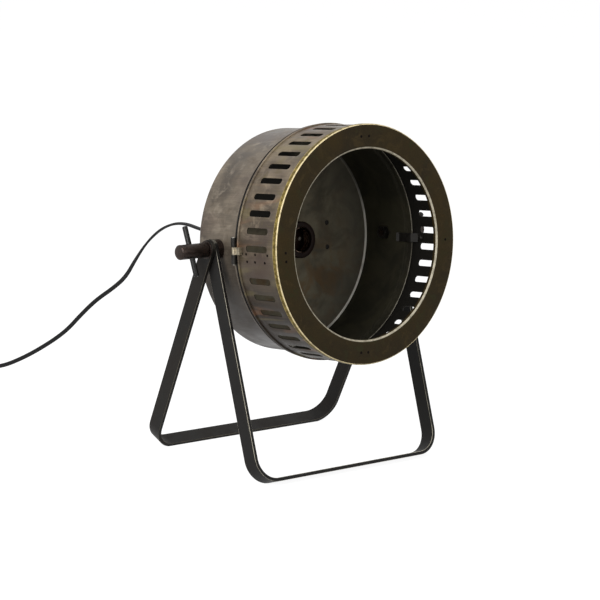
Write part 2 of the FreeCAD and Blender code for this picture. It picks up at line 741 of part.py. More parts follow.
def coil_edges():
    crossings = coil_crossings()
    straight = Vec(0, -CORD, 0)
    edges = [Part.makeLine(crossings[0] - straight, crossings[0])]
    for start, end in zip(crossings, crossings[1:]):
        edges += half_turn(start, end)
    edges.append(Part.makeLine(crossings[-1], crossings[-1] + straight))
    return edges


def least_self_gap(edges, apart=30.0, spacing=1.5):
    """Smallest gap between stretches of the wound cord that are further apart along it than one bend."""
    points, travelled = [], []
    length = 0.0
    for edge in edges:
        count = max(2, round(edge.Length / spacing))
        first, last = edge.FirstParameter, edge.LastParameter
        for step in range(count):
            points.append(edge.valueAt(first + (last - first) * step / count))
            travelled.append(length + edge.Length * step / count)
        length += edge.Length
    nearest = 1e9
    for index, point in enumerate(points):
        for other in range(index + 1, len(points)):
            if travelled[other] - travelled[index] > apart:
                nearest = min(nearest, (point - points[other]).Length)
    return nearest - CORD


def coil_tie():
    """Strap round the bundle of turns, on the side nearest the lamp."""
    inner_low, inner_high = Vec(0, -35.7, 0.7), Vec(0, -14.4, 11.8)
    thickness, width = 0.6, 8.0

    def loop(grow, radius):
        low, high = inner_low - Vec(0, grow, grow), inner_high + Vec(0, grow, grow)
        corners = [Vec(-width / 2, low.y, low.z), Vec(-width / 2, high.y, low.z),
                   Vec(-width / 2, high.y, high.z), Vec(-width / 2, low.y, high.z)]
        return Part.Face(outline([(corner, radius) for corner in corners])).extrude(Vec(width, 0, 0))

    strap = loop(thickness, 3.6).cut(loop(0, 3.0))
    strap.translate(Vec(COIL_X, COIL_Y, 0))
    return strap


# In-line switch, drawn about its own middle on the table

ROCKER_LENGTH = 16.0
ROCKER_WIDTH = 10.0
ROCKER_AXLE = 13.4
SHELL_WALL = 2.0


def switch_plan(grow, low, high, corner):
    """Rounded block on the switch's plan, smaller by grow all round."""
    half_length, half_width = SWITCH_LENGTH / 2 - grow, SWITCH_WIDTH / 2 - grow
    corners = [Vec(-half_length, -half_width, low), Vec(half_length, -half_width, low),
               Vec(half_length, half_width, low), Vec(-half_length, half_width, low)]
    return Part.Face(outline([(point, corner) for point in corners])).extrude(Vec(0, 0, high - low))


def on_switch(shape):
    shape.translate(Vec(SWITCH_X, SWITCH_Y, 0))
    return shape


def cord_bore():
    return rod(CORD / 2, Vec(-SWITCH_LENGTH, 0, CORD_LEVEL), Vec(SWITCH_LENGTH, 0, CORD_LEVEL))


def screw_places():
    return [Vec(-22, -7.5, 0), Vec(22, 7.5, 0)]


def switch_base():
    """Lower shell, hollow, with pillars for its two screws."""
    shell = switch_plan(0, 0, CORD_LEVEL, 7)
    shell = shell.cut(switch_plan(SHELL_WALL, SHELL_WALL, CORD_LEVEL + 1, 5))
    for place in screw_places():
        shell = shell.fuse(rod(2.6, place + Vec(0, 0, 1), place + Vec(0, 0, CORD_LEVEL)))
    for place in screw_places():
        shell = shell.cut(rod(1.3, place - Vec(0, 0, 1), place + Vec(0, 0, 20)))
        shell = shell.cut(rod(2.4, place - Vec(0, 0, 1), place + Vec(0, 0, 1.6)))
    shell = shell.cut(cord_bore())
    return on_switch(shell.removeSplitter())


def switch_cover():
    """Upper shell with rounded shoulders and the rocker's opening."""
    cover = switch_plan(0, CORD_LEVEL, SWITCH_HEIGHT, 7)
    top_rim = [edge for edge in cover.Edges if edge.BoundBox.ZMin > SWITCH_HEIGHT - 0.01]
    cover = cover.makeFillet(3.0, top_rim)
    cover = cover.cut(switch_plan(SHELL_WALL, CORD_LEVEL - 1, SWITCH_HEIGHT - SHELL_WALL, 5))
    half_length, half_width = ROCKER_LENGTH / 2 + 0.9, ROCKER_WIDTH / 2 + 0.4
    cover = cover.cut(block(Vec(-half_length, -half_width, CORD_LEVEL), Vec(half_length, half_width, 30)))
    for place in screw_places():
        pillar = rod(2.6, place + Vec(0, 0, CORD_LEVEL), place + Vec(0, 0, SWITCH_HEIGHT - 1))
        cover = cover.fuse(pillar)
        cover = cover.cut(rod(1.3, place, place + Vec(0, 0, SWITCH_HEIGHT - 4)))
    for side in (-1, 1):
        ear = block(Vec(-2.2, min(side * 6, side * 8.2), ROCKER_AXLE - 2.2),
                    Vec(2.2, max(side * 6, side * 8.2), SWITCH_HEIGHT - 1))
        cover = cover.fuse(ear)
    axle_hole = rod(1.25, Vec(0, -8.2, ROCKER_AXLE), Vec(0, 8.2, ROCKER_AXLE))
    cover = cover.cut(axle_hole).cut(cord_bore())
    return on_switch(cover.removeSplitter())


def switch_rocker():
    """Rocker with a hollow top and an axle across it."""
    half = ROCKER_WIDTH / 2
    low = ROCKER_AXLE - 2.0
    shape = outline([
        (Vec(-ROCKER_LENGTH / 2 + 0.7, -half, SWITCH_HEIGHT + 2.0), 0.8),
        (Vec(0, -half, SWITCH_HEIGHT + 0.2), 6),
        (Vec(ROCKER_LENGTH / 2 - 0.7, -half, SWITCH_HEIGHT + 0.2), 0.8),
        (Vec(ROCKER_LENGTH / 2 - 1.2, -half, low), 0.8),
        (Vec(-ROCKER_LENGTH / 2 + 1.2, -half, low), 0.8),
    ])
    rocker = Part.Face(shape).extrude(Vec(0, ROCKER_WIDTH, 0))
    axle = rod(1.2, Vec(0, -8.0, ROCKER_AXLE), Vec(0, 8.0, ROCKER_AXLE))
    return on_switch(rocker.fuse(axle).removeSplitter())


def switch_contacts():
    """Two brass contact strips that stand in the lower shell under the rocker."""
    strips = []
    for side in (-1, 1):
        low, high = min(side * 7, side * 16), max(side * 7, side * 16)
        strips.append(block(Vec(low, -3, SHELL_WALL), Vec(high, 3, SHELL_WALL + 0.8)))
        low, high = min(side * 7, side * 7.8), max(side * 7, side * 7.8)
        blade = block(Vec(low, -3, SHELL_WALL + 0.8), Vec(high, 3, CORD_LEVEL))
        strips[-1] = strips[-1].fuse(blade).removeSplitter()
    return on_switch(Part.makeCompound(strips))


def switch_screws():
    screws = []
    for place in screw_places():
        head = rod(2.2, place + Vec(0, 0, 0.3), place + Vec(0, 0, 1.6))
        shank = rod(1.3, place + Vec(0, 0, 1.6), place + Vec(0, 0, SWITCH_HEIGHT - 5))
        screws.append(head.fuse(shank).removeSplitter())
    return on_switch(Part.makeCompound(screws))


# Plug, lying flat on the table with its pins towards -Y

def plug_body():
    """Flat two-pin plug: a slim hexagon in plan, with eased edges."""
    nose = PLUG_ENTRY - PLUG_SLEEVE - PLUG_LENGTH
    tail = PLUG_ENTRY - PLUG_SLEEVE
    half_nose, half_tail = PLUG_WIDTH / 2, 8.0
    corners = [
        (Vec(PLUG_X - half_nose, nose, 0), 2), (Vec(PLUG_X + half_nose, nose, 0), 2),
        (Vec(PLUG_X + half_nose, nose + 16, 0), 5), (Vec(PLUG_X + half_tail, tail, 0), 4),
        (Vec(PLUG_X - half_tail, tail, 0), 4), (Vec(PLUG_X - half_nose, nose + 16, 0), 5),
    ]
    body = Part.Face(outline(corners)).extrude(Vec(0, 0, PLUG_HEIGHT))
    flat_rims = [edge for edge in body.Edges
                 if edge.BoundBox.ZLength < 0.01]
    body = body.makeFillet(2.0, flat_rims)
    for side in (-1, 1):
        start = Vec(PLUG_X + side * PIN_SPACING / 2, nose - 1, PLUG_AXIS)
        body = body.cut(rod(2.0, start, start + Vec(0, 13, 0)))
    return body


PLUG_SLEEVE = 26.0
PLUG_PIN_LENGTH = 19.0


def plug_pins():
    nose = PLUG_ENTRY - PLUG_SLEEVE - PLUG_LENGTH
    pins = []
    for side in (-1, 1):
        def at(distance):
            return Vec(PLUG_X + side * PIN_SPACING / 2, nose + distance, PLUG_AXIS)
        shank = rod(2.0, at(12), at(-PLUG_PIN_LENGTH + 1.2))
        tip = cone(2.0, 1.1, at(-PLUG_PIN_LENGTH + 1.2), at(-PLUG_PIN_LENGTH))
        pins.append(shank.fuse(tip).removeSplitter())
    return Part.makeCompound(pins)


def plug_strain_relief():
    """Ribbed tail of the plug, tapering along the cord."""
    tail = PLUG_ENTRY - PLUG_SLEEVE
    sleeve = cone(4.8, 3.1, Vec(PLUG_X, tail, PLUG_AXIS), Vec(PLUG_X, PLUG_ENTRY, PLUG_AXIS))
    return sleeve


def main():
    add_head("rear_drum", rear_drum())
    add_head("back_rivets", back_rivets())
    add_head("slotted_band", slotted_band())
    add_head("front_ring", front_ring())
    add_head("ring_tabs", ring_tabs())
    add_head("catch_spring", catch_spring())
    add_head("catch_rivet", catch_rivet())
    add_head("hinge_drum_knuckles", hinge_drum_knuckles())
    add_head("hinge_door_knuckle", hinge_door_knuckle())
    add_head("hinge_pin", hinge_pin())

    add_head("holder_body", holder_body())
    add_head("socket_liner", socket_liner())
    add_head("socket_insert", socket_insert())
    add_head("centre_contact", centre_contact())
    add_head("side_contact", side_contact())
    add_head("terminal_screws", terminal_screws())
    add_head("inner_leads", inner_leads())
    add_head("hollow_nipple", hollow_nipple())
    add_head("nipple_nut", nipple_nut())
    add_head("cord_grip", cord_grip())
    add_head("strain_relief", strain_relief())

    lift = Vec(0, 0, PIVOT_HEIGHT)
    for side, angle in (("right", RIGHT_TOMMY_ANGLE), ("left", LEFT_TOMMY_ANGLE)):
        def place(shape):
            return mirrored(shape) if side == "left" else shape
        add_head(side + "_pivot_boss", place(pivot_boss()))
        add_head(side + "_pivot_nut", place(pivot_nut()))
        turning = {
            "_clamp_screw": clamp_screw(angle),
            "_tommy_bar": tommy_bar(angle, TOMMY_LENGTH, 0.7),
            "_clamp_washer": clamp_washer(),
            "_fibre_washer": fibre_washer(),
        }
        for ending, shape in turning.items():
            shape = place(shape)
            shape.translate(lift)
            parts[side + ending] = shape

    parts["front_frame"] = bar_frame(-1, FRONT_HALF_TOP, FRONT_HALF_FOOT)
    parts["rear_frame"] = bar_frame(1, REAR_HALF_TOP, REAR_HALF_FOOT)

    parts["cord_lead"] = tube("cord_lead", route_edges("cord_lead", LEAD_ROUTE))
    parts["cord_link"] = tube("cord_link", route_edges("cord_link", LINK_ROUTE))
    wound = coil_edges()
    parts["cord_coil"] = tube("cord_coil", wound)
    print("cord_coil least gap to itself", round(least_self_gap(wound), 2))
    parts["cord_tail"] = tube("cord_tail", route_edges("cord_tail", TAIL_ROUTE))
    parts["coil_tie"] = coil_tie()

    parts["switch_base"] = switch_base()
    parts["switch_cover"] = switch_cover()
    parts["switch_rocker"] = switch_rocker()
    parts["switch_contacts"] = switch_contacts()
    parts["switch_screws"] = switch_screws()
    parts["plug_body"] = plug_body()
    parts["plug_pins"] = plug_pins()
    parts["plug_strain_relief"] = plug_strain_relief()

    os.makedirs("parts", exist_ok=True)
    for name, shape in parts.items():
        shape.translate(Vec(0, ORIGIN_SHIFT, 0))
        if not shape.isValid():
            print(name, "is not valid")
        shape.exportStep("parts/" + name + ".step")
    print(len(parts), "nodes")


main()
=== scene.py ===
import json
import math

import bmesh
import bpy
from mathutils import Matrix, Vector


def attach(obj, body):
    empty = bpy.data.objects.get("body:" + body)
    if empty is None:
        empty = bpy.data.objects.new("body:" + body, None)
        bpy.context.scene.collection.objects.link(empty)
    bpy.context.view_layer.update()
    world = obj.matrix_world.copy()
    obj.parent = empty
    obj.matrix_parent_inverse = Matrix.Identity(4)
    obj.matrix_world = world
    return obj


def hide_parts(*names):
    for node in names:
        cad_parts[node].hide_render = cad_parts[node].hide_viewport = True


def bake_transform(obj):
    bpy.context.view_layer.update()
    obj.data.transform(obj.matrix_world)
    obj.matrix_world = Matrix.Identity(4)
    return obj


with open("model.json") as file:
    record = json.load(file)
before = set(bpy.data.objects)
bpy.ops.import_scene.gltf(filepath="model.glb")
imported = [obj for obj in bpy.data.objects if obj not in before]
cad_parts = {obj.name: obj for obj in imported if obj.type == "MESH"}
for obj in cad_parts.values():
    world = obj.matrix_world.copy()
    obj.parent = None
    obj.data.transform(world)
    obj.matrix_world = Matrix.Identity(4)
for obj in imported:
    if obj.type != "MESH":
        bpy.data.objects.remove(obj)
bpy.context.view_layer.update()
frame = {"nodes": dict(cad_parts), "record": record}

MM = 0.001

# The places of part.py, in millimetres
ORIGIN_SHIFT = 8.95
PIVOT_HEIGHT = 244.7
REST_TILT = math.radians(7.3)

HEAD = (Matrix.Translation((0, ORIGIN_SHIFT * MM, PIVOT_HEIGHT * MM))
        @ Matrix.Rotation(-REST_TILT, 4, "X") @ Matrix.Scale(MM, 4))
PLACED = Matrix.Translation((0, ORIGIN_SHIFT * MM, 0)) @ Matrix.Scale(MM, 4)

# How far each frame leans from upright
LEAN = math.radians(21)

BODY_OF = {part: body
           for body, members in frame["record"]["behaviour"]["bodies"].items()
           for part in members}


# Objects

def shown(name, data):
    """A new object in the scene."""
    made = bpy.data.objects.new(name, data)
    bpy.context.scene.collection.objects.link(made)
    return made


def evaluated_mesh(holder):
    """An object's mesh with its modifiers applied; the object is removed."""
    bpy.context.view_layer.update()
    evaluated = holder.evaluated_get(bpy.context.evaluated_depsgraph_get())
    mesh = bpy.data.meshes.new_from_object(evaluated)
    bpy.data.objects.remove(holder)
    return mesh


# Camera

def make_camera():
    """The viewpoint worked out from the photograph's ellipses."""
    place = Vector((-1678.74, -1882.83 + ORIGIN_SHIFT, 705.26)) * MM
    right = Vector((0.75359, -0.65477, 0.05821))
    up = Vector((0.09190, 0.19263, 0.97696))
    back = right.cross(up)
    turn = Matrix((right, up, back)).transposed()
    data = bpy.data.cameras.new("camera")
    data.sensor_width = 36.0
    data.lens = 137.4
    data.clip_start, data.clip_end = 0.05, 50.0
    camera = shown("camera", data)
    camera.matrix_world = Matrix.Translation(place) @ turn.to_4x4()
    bpy.context.scene.camera = camera


# Meshes

def new_piece(name, mesh, material, body, replaced=()):
    """A finished piece on its body; a piece that bends between two bodies has none of its own."""
    piece = shown(name, mesh)
    mesh.materials.clear()
    mesh.materials.append(material)
    if body:
        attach(piece, body)
    if replaced:
        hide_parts(*replaced)
    return piece


def finished_mesh(mesh, modifiers):
    """The mesh with (type, settings) modifiers applied."""
    holder = shown("holder", mesh)
    for kind, settings in modifiers:
        modifier = holder.modifiers.new(kind.lower(), kind)
        for key, setting in settings.items():
            setattr(modifier, key, setting)
    return evaluated_mesh(holder)


def smooth(mesh, sharp_degrees=35):
    for polygon in mesh.polygons:
        polygon.use_smooth = True
    mesh.set_sharp_from_angle(angle=math.radians(sharp_degrees))
    return mesh


def mesh_from(name, vertices, faces, turn_out=True):
    mesh = bpy.data.meshes.new(name)
    mesh.from_pydata([tuple(vertex) for vertex in vertices], [], faces)
    work = bmesh.new()
    work.from_mesh(mesh)
    bmesh.ops.remove_doubles(work, verts=work.verts, dist=1e-7)
    if turn_out:
        bmesh.ops.recalc_face_normals(work, faces=work.faces)
    work.to_mesh(mesh)
    work.free()
    return mesh


def rounded(corners, segments=6):
    """Closed outline of (radius, forward, corner radius) with its corners turned to arcs."""
    points = []
    for index, (x, y, radius) in enumerate(corners):
        corner = Vector((x, y))
        if not radius:
            points.append(corner)
            continue
        before = Vector(corners[index - 1][:2]) - corner
        after = Vector(corners[(index + 1) % len(corners)][:2]) - corner
        before.normalize()
        after.normalize()
        half_inside = before.angle(after) / 2
        centre = corner + (before + after).normalized() * (radius / math.sin(half_inside))
        cut = radius / math.tan(half_inside)
        start, end = corner + before * cut - centre, corner + after * cut - centre
        sweep = start.angle_signed(end)
        for step in range(segments + 1):
            turn = Matrix.Rotation(-sweep * step / segments, 2)
            points.append(centre + turn @ start)
    return points


def at_angle(radius, angle, forward=0.0):
    """Point of the level head, round the lamp's axis and forward of the pivot."""
    return Vector((radius * math.cos(angle), -forward, radius * math.sin(angle)))


def tube_faces(rings, count, closed=False):
    """Faces between rings of count points; closed joins the last ring to the first."""
    faces = []
    for ring in range(rings if closed else rings - 1):
        following = (ring + 1) % rings
        for index in range(count):
            ahead = (index + 1) % count
            faces.append((ring * count + index, ring * count + ahead,
                          following * count + ahead, following * count + index))
    return faces


def turn_faces(work, side):
    """Turns faces away from the lamp's axis where side is 1, towards it where side is -1."""
    for face in work.faces:
        outward = face.calc_center_median()
        outward.y = 0
        if side * face.normal.dot(outward) < 0:
            face.normal_flip()


def lathe(name, corners, steps=192, segments=6, axis=HEAD):
    """Closed shell turned from (radius, forward, corner radius) about the lamp's axis or another."""
    outline = rounded(corners, segments)
    vertices = [axis @ at_angle(point.x, 2 * math.pi * step / steps, point.y)
                for step in range(steps) for point in outline]
    return smooth(mesh_from(name, vertices, tube_faces(steps, len(outline), closed=True)))


def add_mesh(mesh, extra):
    """Adds a closed shell to a mesh, as a welded-on part of the same piece."""
    work = bmesh.new()
    work.from_mesh(mesh)
    work.from_mesh(extra)
    work.to_mesh(mesh)
    work.free()
    bpy.data.meshes.remove(extra)


def clean_copy(part, dissolve_degrees=0.3):
    """A CAD node's mesh with its loose triangles joined and its flat faces made whole."""
    mesh = frame["nodes"][part].data.copy()
    work = bmesh.new()
    work.from_mesh(mesh)
    bmesh.ops.remove_doubles(work, verts=work.verts, dist=2e-6)
    bmesh.ops.dissolve_limit(work, angle_limit=math.radians(dissolve_degrees),
                             verts=work.verts, edges=work.edges)
    work.to_mesh(mesh)
    work.free()
    return mesh


def dressed(part, material, bevel=0.0, segments=2, sharp_degrees=35):
    """A CAD node's own shape with its edges eased and its round faces smooth."""
    mesh = smooth(clean_copy(part), sharp_degrees)
    if bevel:
        mesh = finished_mesh(mesh, [("BEVEL", dict(
            width=bevel * MM, segments=segments, limit_method="ANGLE", harden_normals=True,
            angle_limit=math.radians(30), use_clamp_overlap=True, miter_outer="MITER_ARC"))])
    return new_piece(part + "_dressed", mesh, material, BODY_OF[part], [part])


# Materials

def linear(hex_colour):
    """sRGB hex to linear red, green, blue and full alpha."""
    channels = [int(hex_colour[index:index + 2], 16) / 255 for index in (1, 3, 5)]
    return tuple(c / 12.92 if c <= 0.04045 else ((c + 0.055) / 1.055) ** 2.4 for c in channels) + (1.0,)


def node(tree, kind, links=None, **settings):
    """Adds a node; settings name its properties or its sockets, links feed its sockets."""
    made = tree.nodes.new(kind)
    for key, setting in settings.items():
        if hasattr(made, key):
            setattr(made, key, setting)
        else:
            made.inputs[key.replace("_", " ")].default_value = setting
    for socket, source in (links or {}).items():
        tree.links.new(source, made.inputs[socket])
    return made


def value(tree, operation, first, second=None, third=None, clamp=False):
    """A Math node on numbers or sockets."""
    made = tree.nodes.new("ShaderNodeMath")
    made.operation = operation
    made.use_clamp = clamp
    for index, source in enumerate((first, second, third)):
        if source is None:
            continue
        if isinstance(source, (int, float)):
            made.inputs[index].default_value = source
        else:
            tree.links.new(source, made.inputs[index])
    return made.outputs[0]


def product(tree, first, *others):
    """Numbers or sockets multiplied together."""
    for factor in others:
        first = value(tree, "MULTIPLY", first, factor)
    return first


def ramp(tree, source, low, high, start=0.0, end=1.0):
    """Smooth change from start to end while source goes from low to high."""
    made = tree.nodes.new("ShaderNodeMapRange")
    made.interpolation_type = "SMOOTHSTEP"
    tree.links.new(source, made.inputs["Value"])
    for name, number in (("From Min", low), ("From Max", high), ("To Min", start), ("To Max", end)):
        made.inputs[name].default_value = number
    return made.outputs[0]


def mix(tree, factor, first, second, blend="MIX"):
    """Mixes two colours, given as hex or sockets, by a number or a socket."""
    made = tree.nodes.new("ShaderNodeMix")
    made.data_type = "RGBA"
    made.blend_type = blend
    for socket, source in ((made.inputs[0], factor), (made.inputs[6], first), (made.inputs[7], second)):
        if isinstance(source, str):
            socket.default_value = linear(source)
        elif isinstance(source, (int, float)):
            socket.default_value = source
        else:
            tree.links.new(source, socket)
    return made.outputs[2]


def noise(tree, place, size_mm, detail=4.0, roughness=0.55, stretch=(1, 1, 1), distortion=0.0):
    """Noise whose grains are about size_mm across, longer where stretch is above 1."""
    grains = node(tree, "ShaderNodeVectorMath", {0: place}, operation="MULTIPLY")
    grains.inputs[1].default_value = [1 / (size_mm * amount) for amount in stretch]
    made = node(tree, "ShaderNodeTexNoise", {"Vector": grains.outputs[0]}, Scale=1.0, Detail=detail,
                Roughness=roughness, Distortion=distortion)
    return made.outputs["Fac"]


def new_material(name):
    material = bpy.data.materials.new(name)
    material.use_nodes = True
    material.node_tree.nodes.clear()
    return material, material.node_tree


def surface(tree, colour, roughness, metallic, specular, relief, depth_mm, strength=0.5):
    """The material's shader, with its fine relief as bump."""
    bump = node(tree, "ShaderNodeBump", {"Height": relief}, Strength=strength, Distance=depth_mm * MM)
    shader = node(tree, "ShaderNodeBsdfPrincipled",
                  {"Base Color": colour, "Roughness": roughness, "Normal": bump.outputs[0]},
                  Metallic=metallic, Specular_IOR_Level=specular)
    node(tree, "ShaderNodeOutputMaterial", {0: shader.outputs[0]})


def head_place(tree):
    """Object coordinates turned to the level head's millimetres, with the pivot at zero."""
    source = node(tree, "ShaderNodeTexCoord").outputs["Object"]
    made = node(tree, "ShaderNodeMapping", {"Vector": source}, vector_type="POINT",
                Location=HEAD.inverted() @ Vector((0, 0, 0)), Rotation=(REST_TILT, 0, 0),
                Scale=(1 / MM, 1 / MM, 1 / MM))
    return made.outputs[0]


def object_place(tree):
    """Object coordinates in millimetres."""
    source = node(tree, "ShaderNodeTexCoord").outputs["Object"]
    made = node(tree, "ShaderNodeVectorMath", {0: source}, operation="SCALE", Scale=1 / MM)
    return made.outputs[0]


# Lacquer turned purplish brown by heat
PURPLE_TINT = "#4f423c"


def lacquered_steel(name, body, dark, light, stain, metallic=0.3, specular=0.35, rough=(0.34, 0.52),
                    streak_along=(1, 14, 1), tint=PURPLE_TINT, low=None, inside=None, wear_and_painted_light=None):
    """Patinated steel under thin lacquer: cloudy, stained, faintly drawn in lines, softly shining."""
    material, tree = new_material(name)
    place = head_place(tree)
    clouds = noise(tree, place, 46, 5, 0.6, distortion=0.4)
    blotches = noise(tree, place, 17, 4, 0.62, distortion=0.8)
    tints = noise(tree, place, 60, 2, 0.5, (1, 2.5, 1))
    streaks = noise(tree, place, 1.6, 3, 0.6, streak_along)
    grain = noise(tree, place, 0.7, 2, 0.5)
    colour = mix(tree, ramp(tree, clouds, 0.34, 0.62), dark, body)
    colour = mix(tree, ramp(tree, blotches, 0.50, 0.70, 0.0, 0.7), colour, light)
    colour = mix(tree, ramp(tree, blotches, 0.47, 0.32, 0.0, 0.6), colour, stain)
    colour = mix(tree, ramp(tree, tints, 0.52, 0.66, 0.0, 0.45), colour, tint)
    # Painted shade: the low colour darkens the piece towards the bottom of the head, where less light falls
    if low:
        height = node(tree, "ShaderNodeSeparateXYZ", {0: place}).outputs[2]
        colour = mix(tree, ramp(tree, height, 45.0, -80.0, 0.0, 0.9), colour, low)
    colour = scaled(tree, colour, ramp(tree, streaks, 0.25, 0.75, 0.80, 1.14))
    roughness = value(tree, "ADD", ramp(tree, clouds, 0.3, 0.7, rough[0], rough[1]),
                      ramp(tree, streaks, 0.3, 0.7, -0.04, 0.04))
    # The finishes add stains and rubbing, and also painted shadows and painted highlights at seams and
    # edges
    for finish in (inside, wear_and_painted_light):
        if finish:
            colour, roughness = finish(tree, place, colour, roughness, grain)
    relief = value(tree, "MULTIPLY_ADD", streaks, 0.6, grain)
    surface(tree, colour, roughness, metallic, specular, relief, 0.02)
    return material


def scaled(tree, colour, amount):
    """The colour made darker or lighter by a number from a socket."""
    grey = node(tree, "ShaderNodeCombineColor", {0: amount, 1: amount, 2: amount}).outputs[0]
    return mix(tree, 1.0, colour, grey, "MULTIPLY")


def between(tree, source, low, high, soft=0.3):
    """One where source lies between low and high, zero beyond a soft edge."""
    return product(tree, ramp(tree, source, low - soft, low), ramp(tree, source, high + soft, high))


def radius_and_forward(tree, place):
    parts = node(tree, "ShaderNodeSeparateXYZ", {0: place})
    x, y, z = parts.outputs
    radius = value(tree, "SQRT", value(tree, "ADD", product(tree, x, x), product(tree, z, z)))
    forward = product(tree, y, -1.0)
    return radius, forward


def drum_inside(tree, place, colour, roughness, grain):
    """Bare inside: a cloudy grey back plate with rust-brown stains and a painted shadow at its upper left,
    a dark wall, a painted highlight along the back corner, strongest low down, and a pale front edge,
    partly bare metal and partly painted highlight.
    """
    radius, forward = radius_and_forward(tree, place)
    clouds = noise(tree, place, 38, 5, 0.6, distortion=0.5)
    rust = noise(tree, place, 26, 4, 0.6, distortion=1.0)
    sideways, _, height = node(tree, "ShaderNodeSeparateXYZ", {0: place}).outputs
    plate_colour = mix(tree, ramp(tree, clouds, 0.35, 0.62), "#494438", "#66604f")
    rusty = product(tree, ramp(tree, rust, 0.42, 0.62), ramp(tree, height, 10.0, -55.0, 0.15, 0.6))
    plate_colour = mix(tree, rusty, plate_colour, "#5e4629")
    plate_colour = mix(tree, ramp(tree, radius, 72.0, 122.0, 0.0, 0.5), plate_colour, "#716e62")
    # Painted shadow: the back plate made nearly black at its upper left
    painted_shadow = product(tree, ramp(tree, height, 4.0, 26.0), ramp(tree, sideways, 32.0, 6.0))
    plate_colour = mix(tree, painted_shadow, plate_colour, "#14120e")
    wall_colour = mix(tree, ramp(tree, clouds, 0.35, 0.65), "#242219", "#343124")
    within_spigot = ramp(tree, radius, SPIGOT_RADIUS - 0.6, SPIGOT_RADIUS - 0.9)
    past_wall = value(tree, "MAXIMUM", value(tree, "SUBTRACT", radius, DRUM_RADIUS - DRUM_CORNER), 0.0)
    past_back = value(tree, "MAXIMUM", value(tree, "SUBTRACT", DRUM_BACK + DRUM_CORNER, forward), 0.0)
    from_corner = value(tree, "SQRT", value(tree, "MULTIPLY_ADD", past_wall, past_wall,
                                            product(tree, past_back, past_back)))
    middle_of_sheet = DRUM_CORNER - DRUM_SHEET / 2
    outside = product(tree, ramp(tree, from_corner, middle_of_sheet - 0.1, middle_of_sheet + 0.1),
                    ramp(tree, forward, DRUM_FRONT - RIM_DEPTH - 0.4, DRUM_FRONT - RIM_DEPTH - 0.8))
    indoors = value(tree, "SUBTRACT", within_spigot, outside, clamp=True)
    colour = mix(tree, indoors, colour, wall_colour)
    roughness = value(tree, "MAXIMUM", roughness, product(tree, indoors, 0.72))
    plate = between(tree, forward, HOLDER_BACK - 0.7, HOLDER_BACK + 0.3)
    colour = mix(tree, product(tree, plate, ramp(tree, radius, 122.6, 122.0)), colour, plate_colour)
    # Painted highlight: a pale line along the rounded back corner, strongest low down where the corner
    # faces up
    corner = product(tree, between(tree, forward, HOLDER_BACK + 0.2, HOLDER_BACK + 1.4),
                   between(tree, radius, 121.6, DRUM_RADIUS - DRUM_SHEET))
    corner = product(tree, corner, ramp(tree, height, 75.0, -15.0, 0.1, 1.0))
    colour = mix(tree, product(tree, corner, ramp(tree, clouds, 0.3, 0.6, 0.5, 1.0)), colour, "#e4e0d6")
    # Pale front edge of the spigot: partly bare metal, partly painted highlight
    edge = product(tree, ramp(tree, forward, SPIGOT_FRONT - 0.5, SPIGOT_FRONT - 0.1),
                 ramp(tree, clouds, 0.3, 0.6, 0.3, 1.0))
    return mix(tree, edge, colour, "#b5af9f"), roughness


def rim_wear_and_seam_shadow(tree, place, colour, roughness, grain):
    """Paint rubbed thin along the drum's rolled rim, and a painted shadow in the gap in front of it."""
    radius, forward = radius_and_forward(tree, place)
    rim = product(tree, ramp(tree, radius, RIM_RADIUS - 0.5, RIM_RADIUS - 0.05),
                ramp(tree, grain, 0.35, 0.6, 0.1, 0.4))
    colour = mix(tree, rim, colour, "#7d7264")
    # Painted shadow: the spigot's outer face between the rim and the band made nearly black
    seam = product(tree, ramp(tree, radius, SPIGOT_RADIUS - 0.6, SPIGOT_RADIUS - 0.3),
                 ramp(tree, forward, DRUM_FRONT - 1.5, DRUM_FRONT - 0.8))
    seam = product(tree, seam, ramp(tree, forward, SPIGOT_FRONT - 0.3, SPIGOT_FRONT - 0.6))
    return mix(tree, seam, colour, "#0c0a08"), roughness


def band_inside(tree, place, colour, roughness, grain):
    """Nearly black, dull inside of the hoop and of its slots."""
    radius, _ = radius_and_forward(tree, place)
    indoors = ramp(tree, radius, BAND_RADIUS - 0.25, BAND_RADIUS - 0.5)
    roughness = value(tree, "MAXIMUM", roughness, product(tree, indoors, 0.72))
    return mix(tree, indoors, colour, "#15130f"), roughness


def band_tints_and_bead_shadow(tree, place, colour, roughness, grain):
    """Copper and olive heat tints in streaks along the hoop, and a painted shadow on the back of the rear
    bead where it stands over the drum.
    """
    radius, forward = radius_and_forward(tree, place)
    heat = noise(tree, place, 20, 3, 0.5, (1, 5, 1), distortion=0.6)
    outer = ramp(tree, radius, BAND_RADIUS - 0.3, BAND_RADIUS - 0.1)
    colour = mix(tree, product(tree, outer, ramp(tree, heat, 0.56, 0.70, 0.0, 0.45)), colour, "#8a6244")
    colour = mix(tree, product(tree, outer, ramp(tree, heat, 0.42, 0.30, 0.0, 0.4)), colour, "#756b4a")
    apart = node(tree, "ShaderNodeVectorMath", {0: place}, operation="DISTANCE")
    apart.inputs[1].default_value = at_angle(BAND_RADIUS, math.radians(BLANK_ANGLE), SLOT_CENTRE)
    scorched = product(tree, outer, ramp(tree, apart.outputs["Value"], 34.0, 10.0),
                       ramp(tree, heat, 0.3, 0.6, 0.4, 0.9))
    colour = mix(tree, scorched, colour, "#453831")
    # Painted shadow: the back of the rear bead made nearly black
    painted_bead_shadow = product(tree, ramp(tree, radius, BAND_RADIUS + 0.2, BAND_RADIUS + 0.6),
                ramp(tree, forward, BAND_REAR + 1.4, BAND_REAR + 0.9))
    return mix(tree, painted_bead_shadow, colour, "#16120f"), roughness


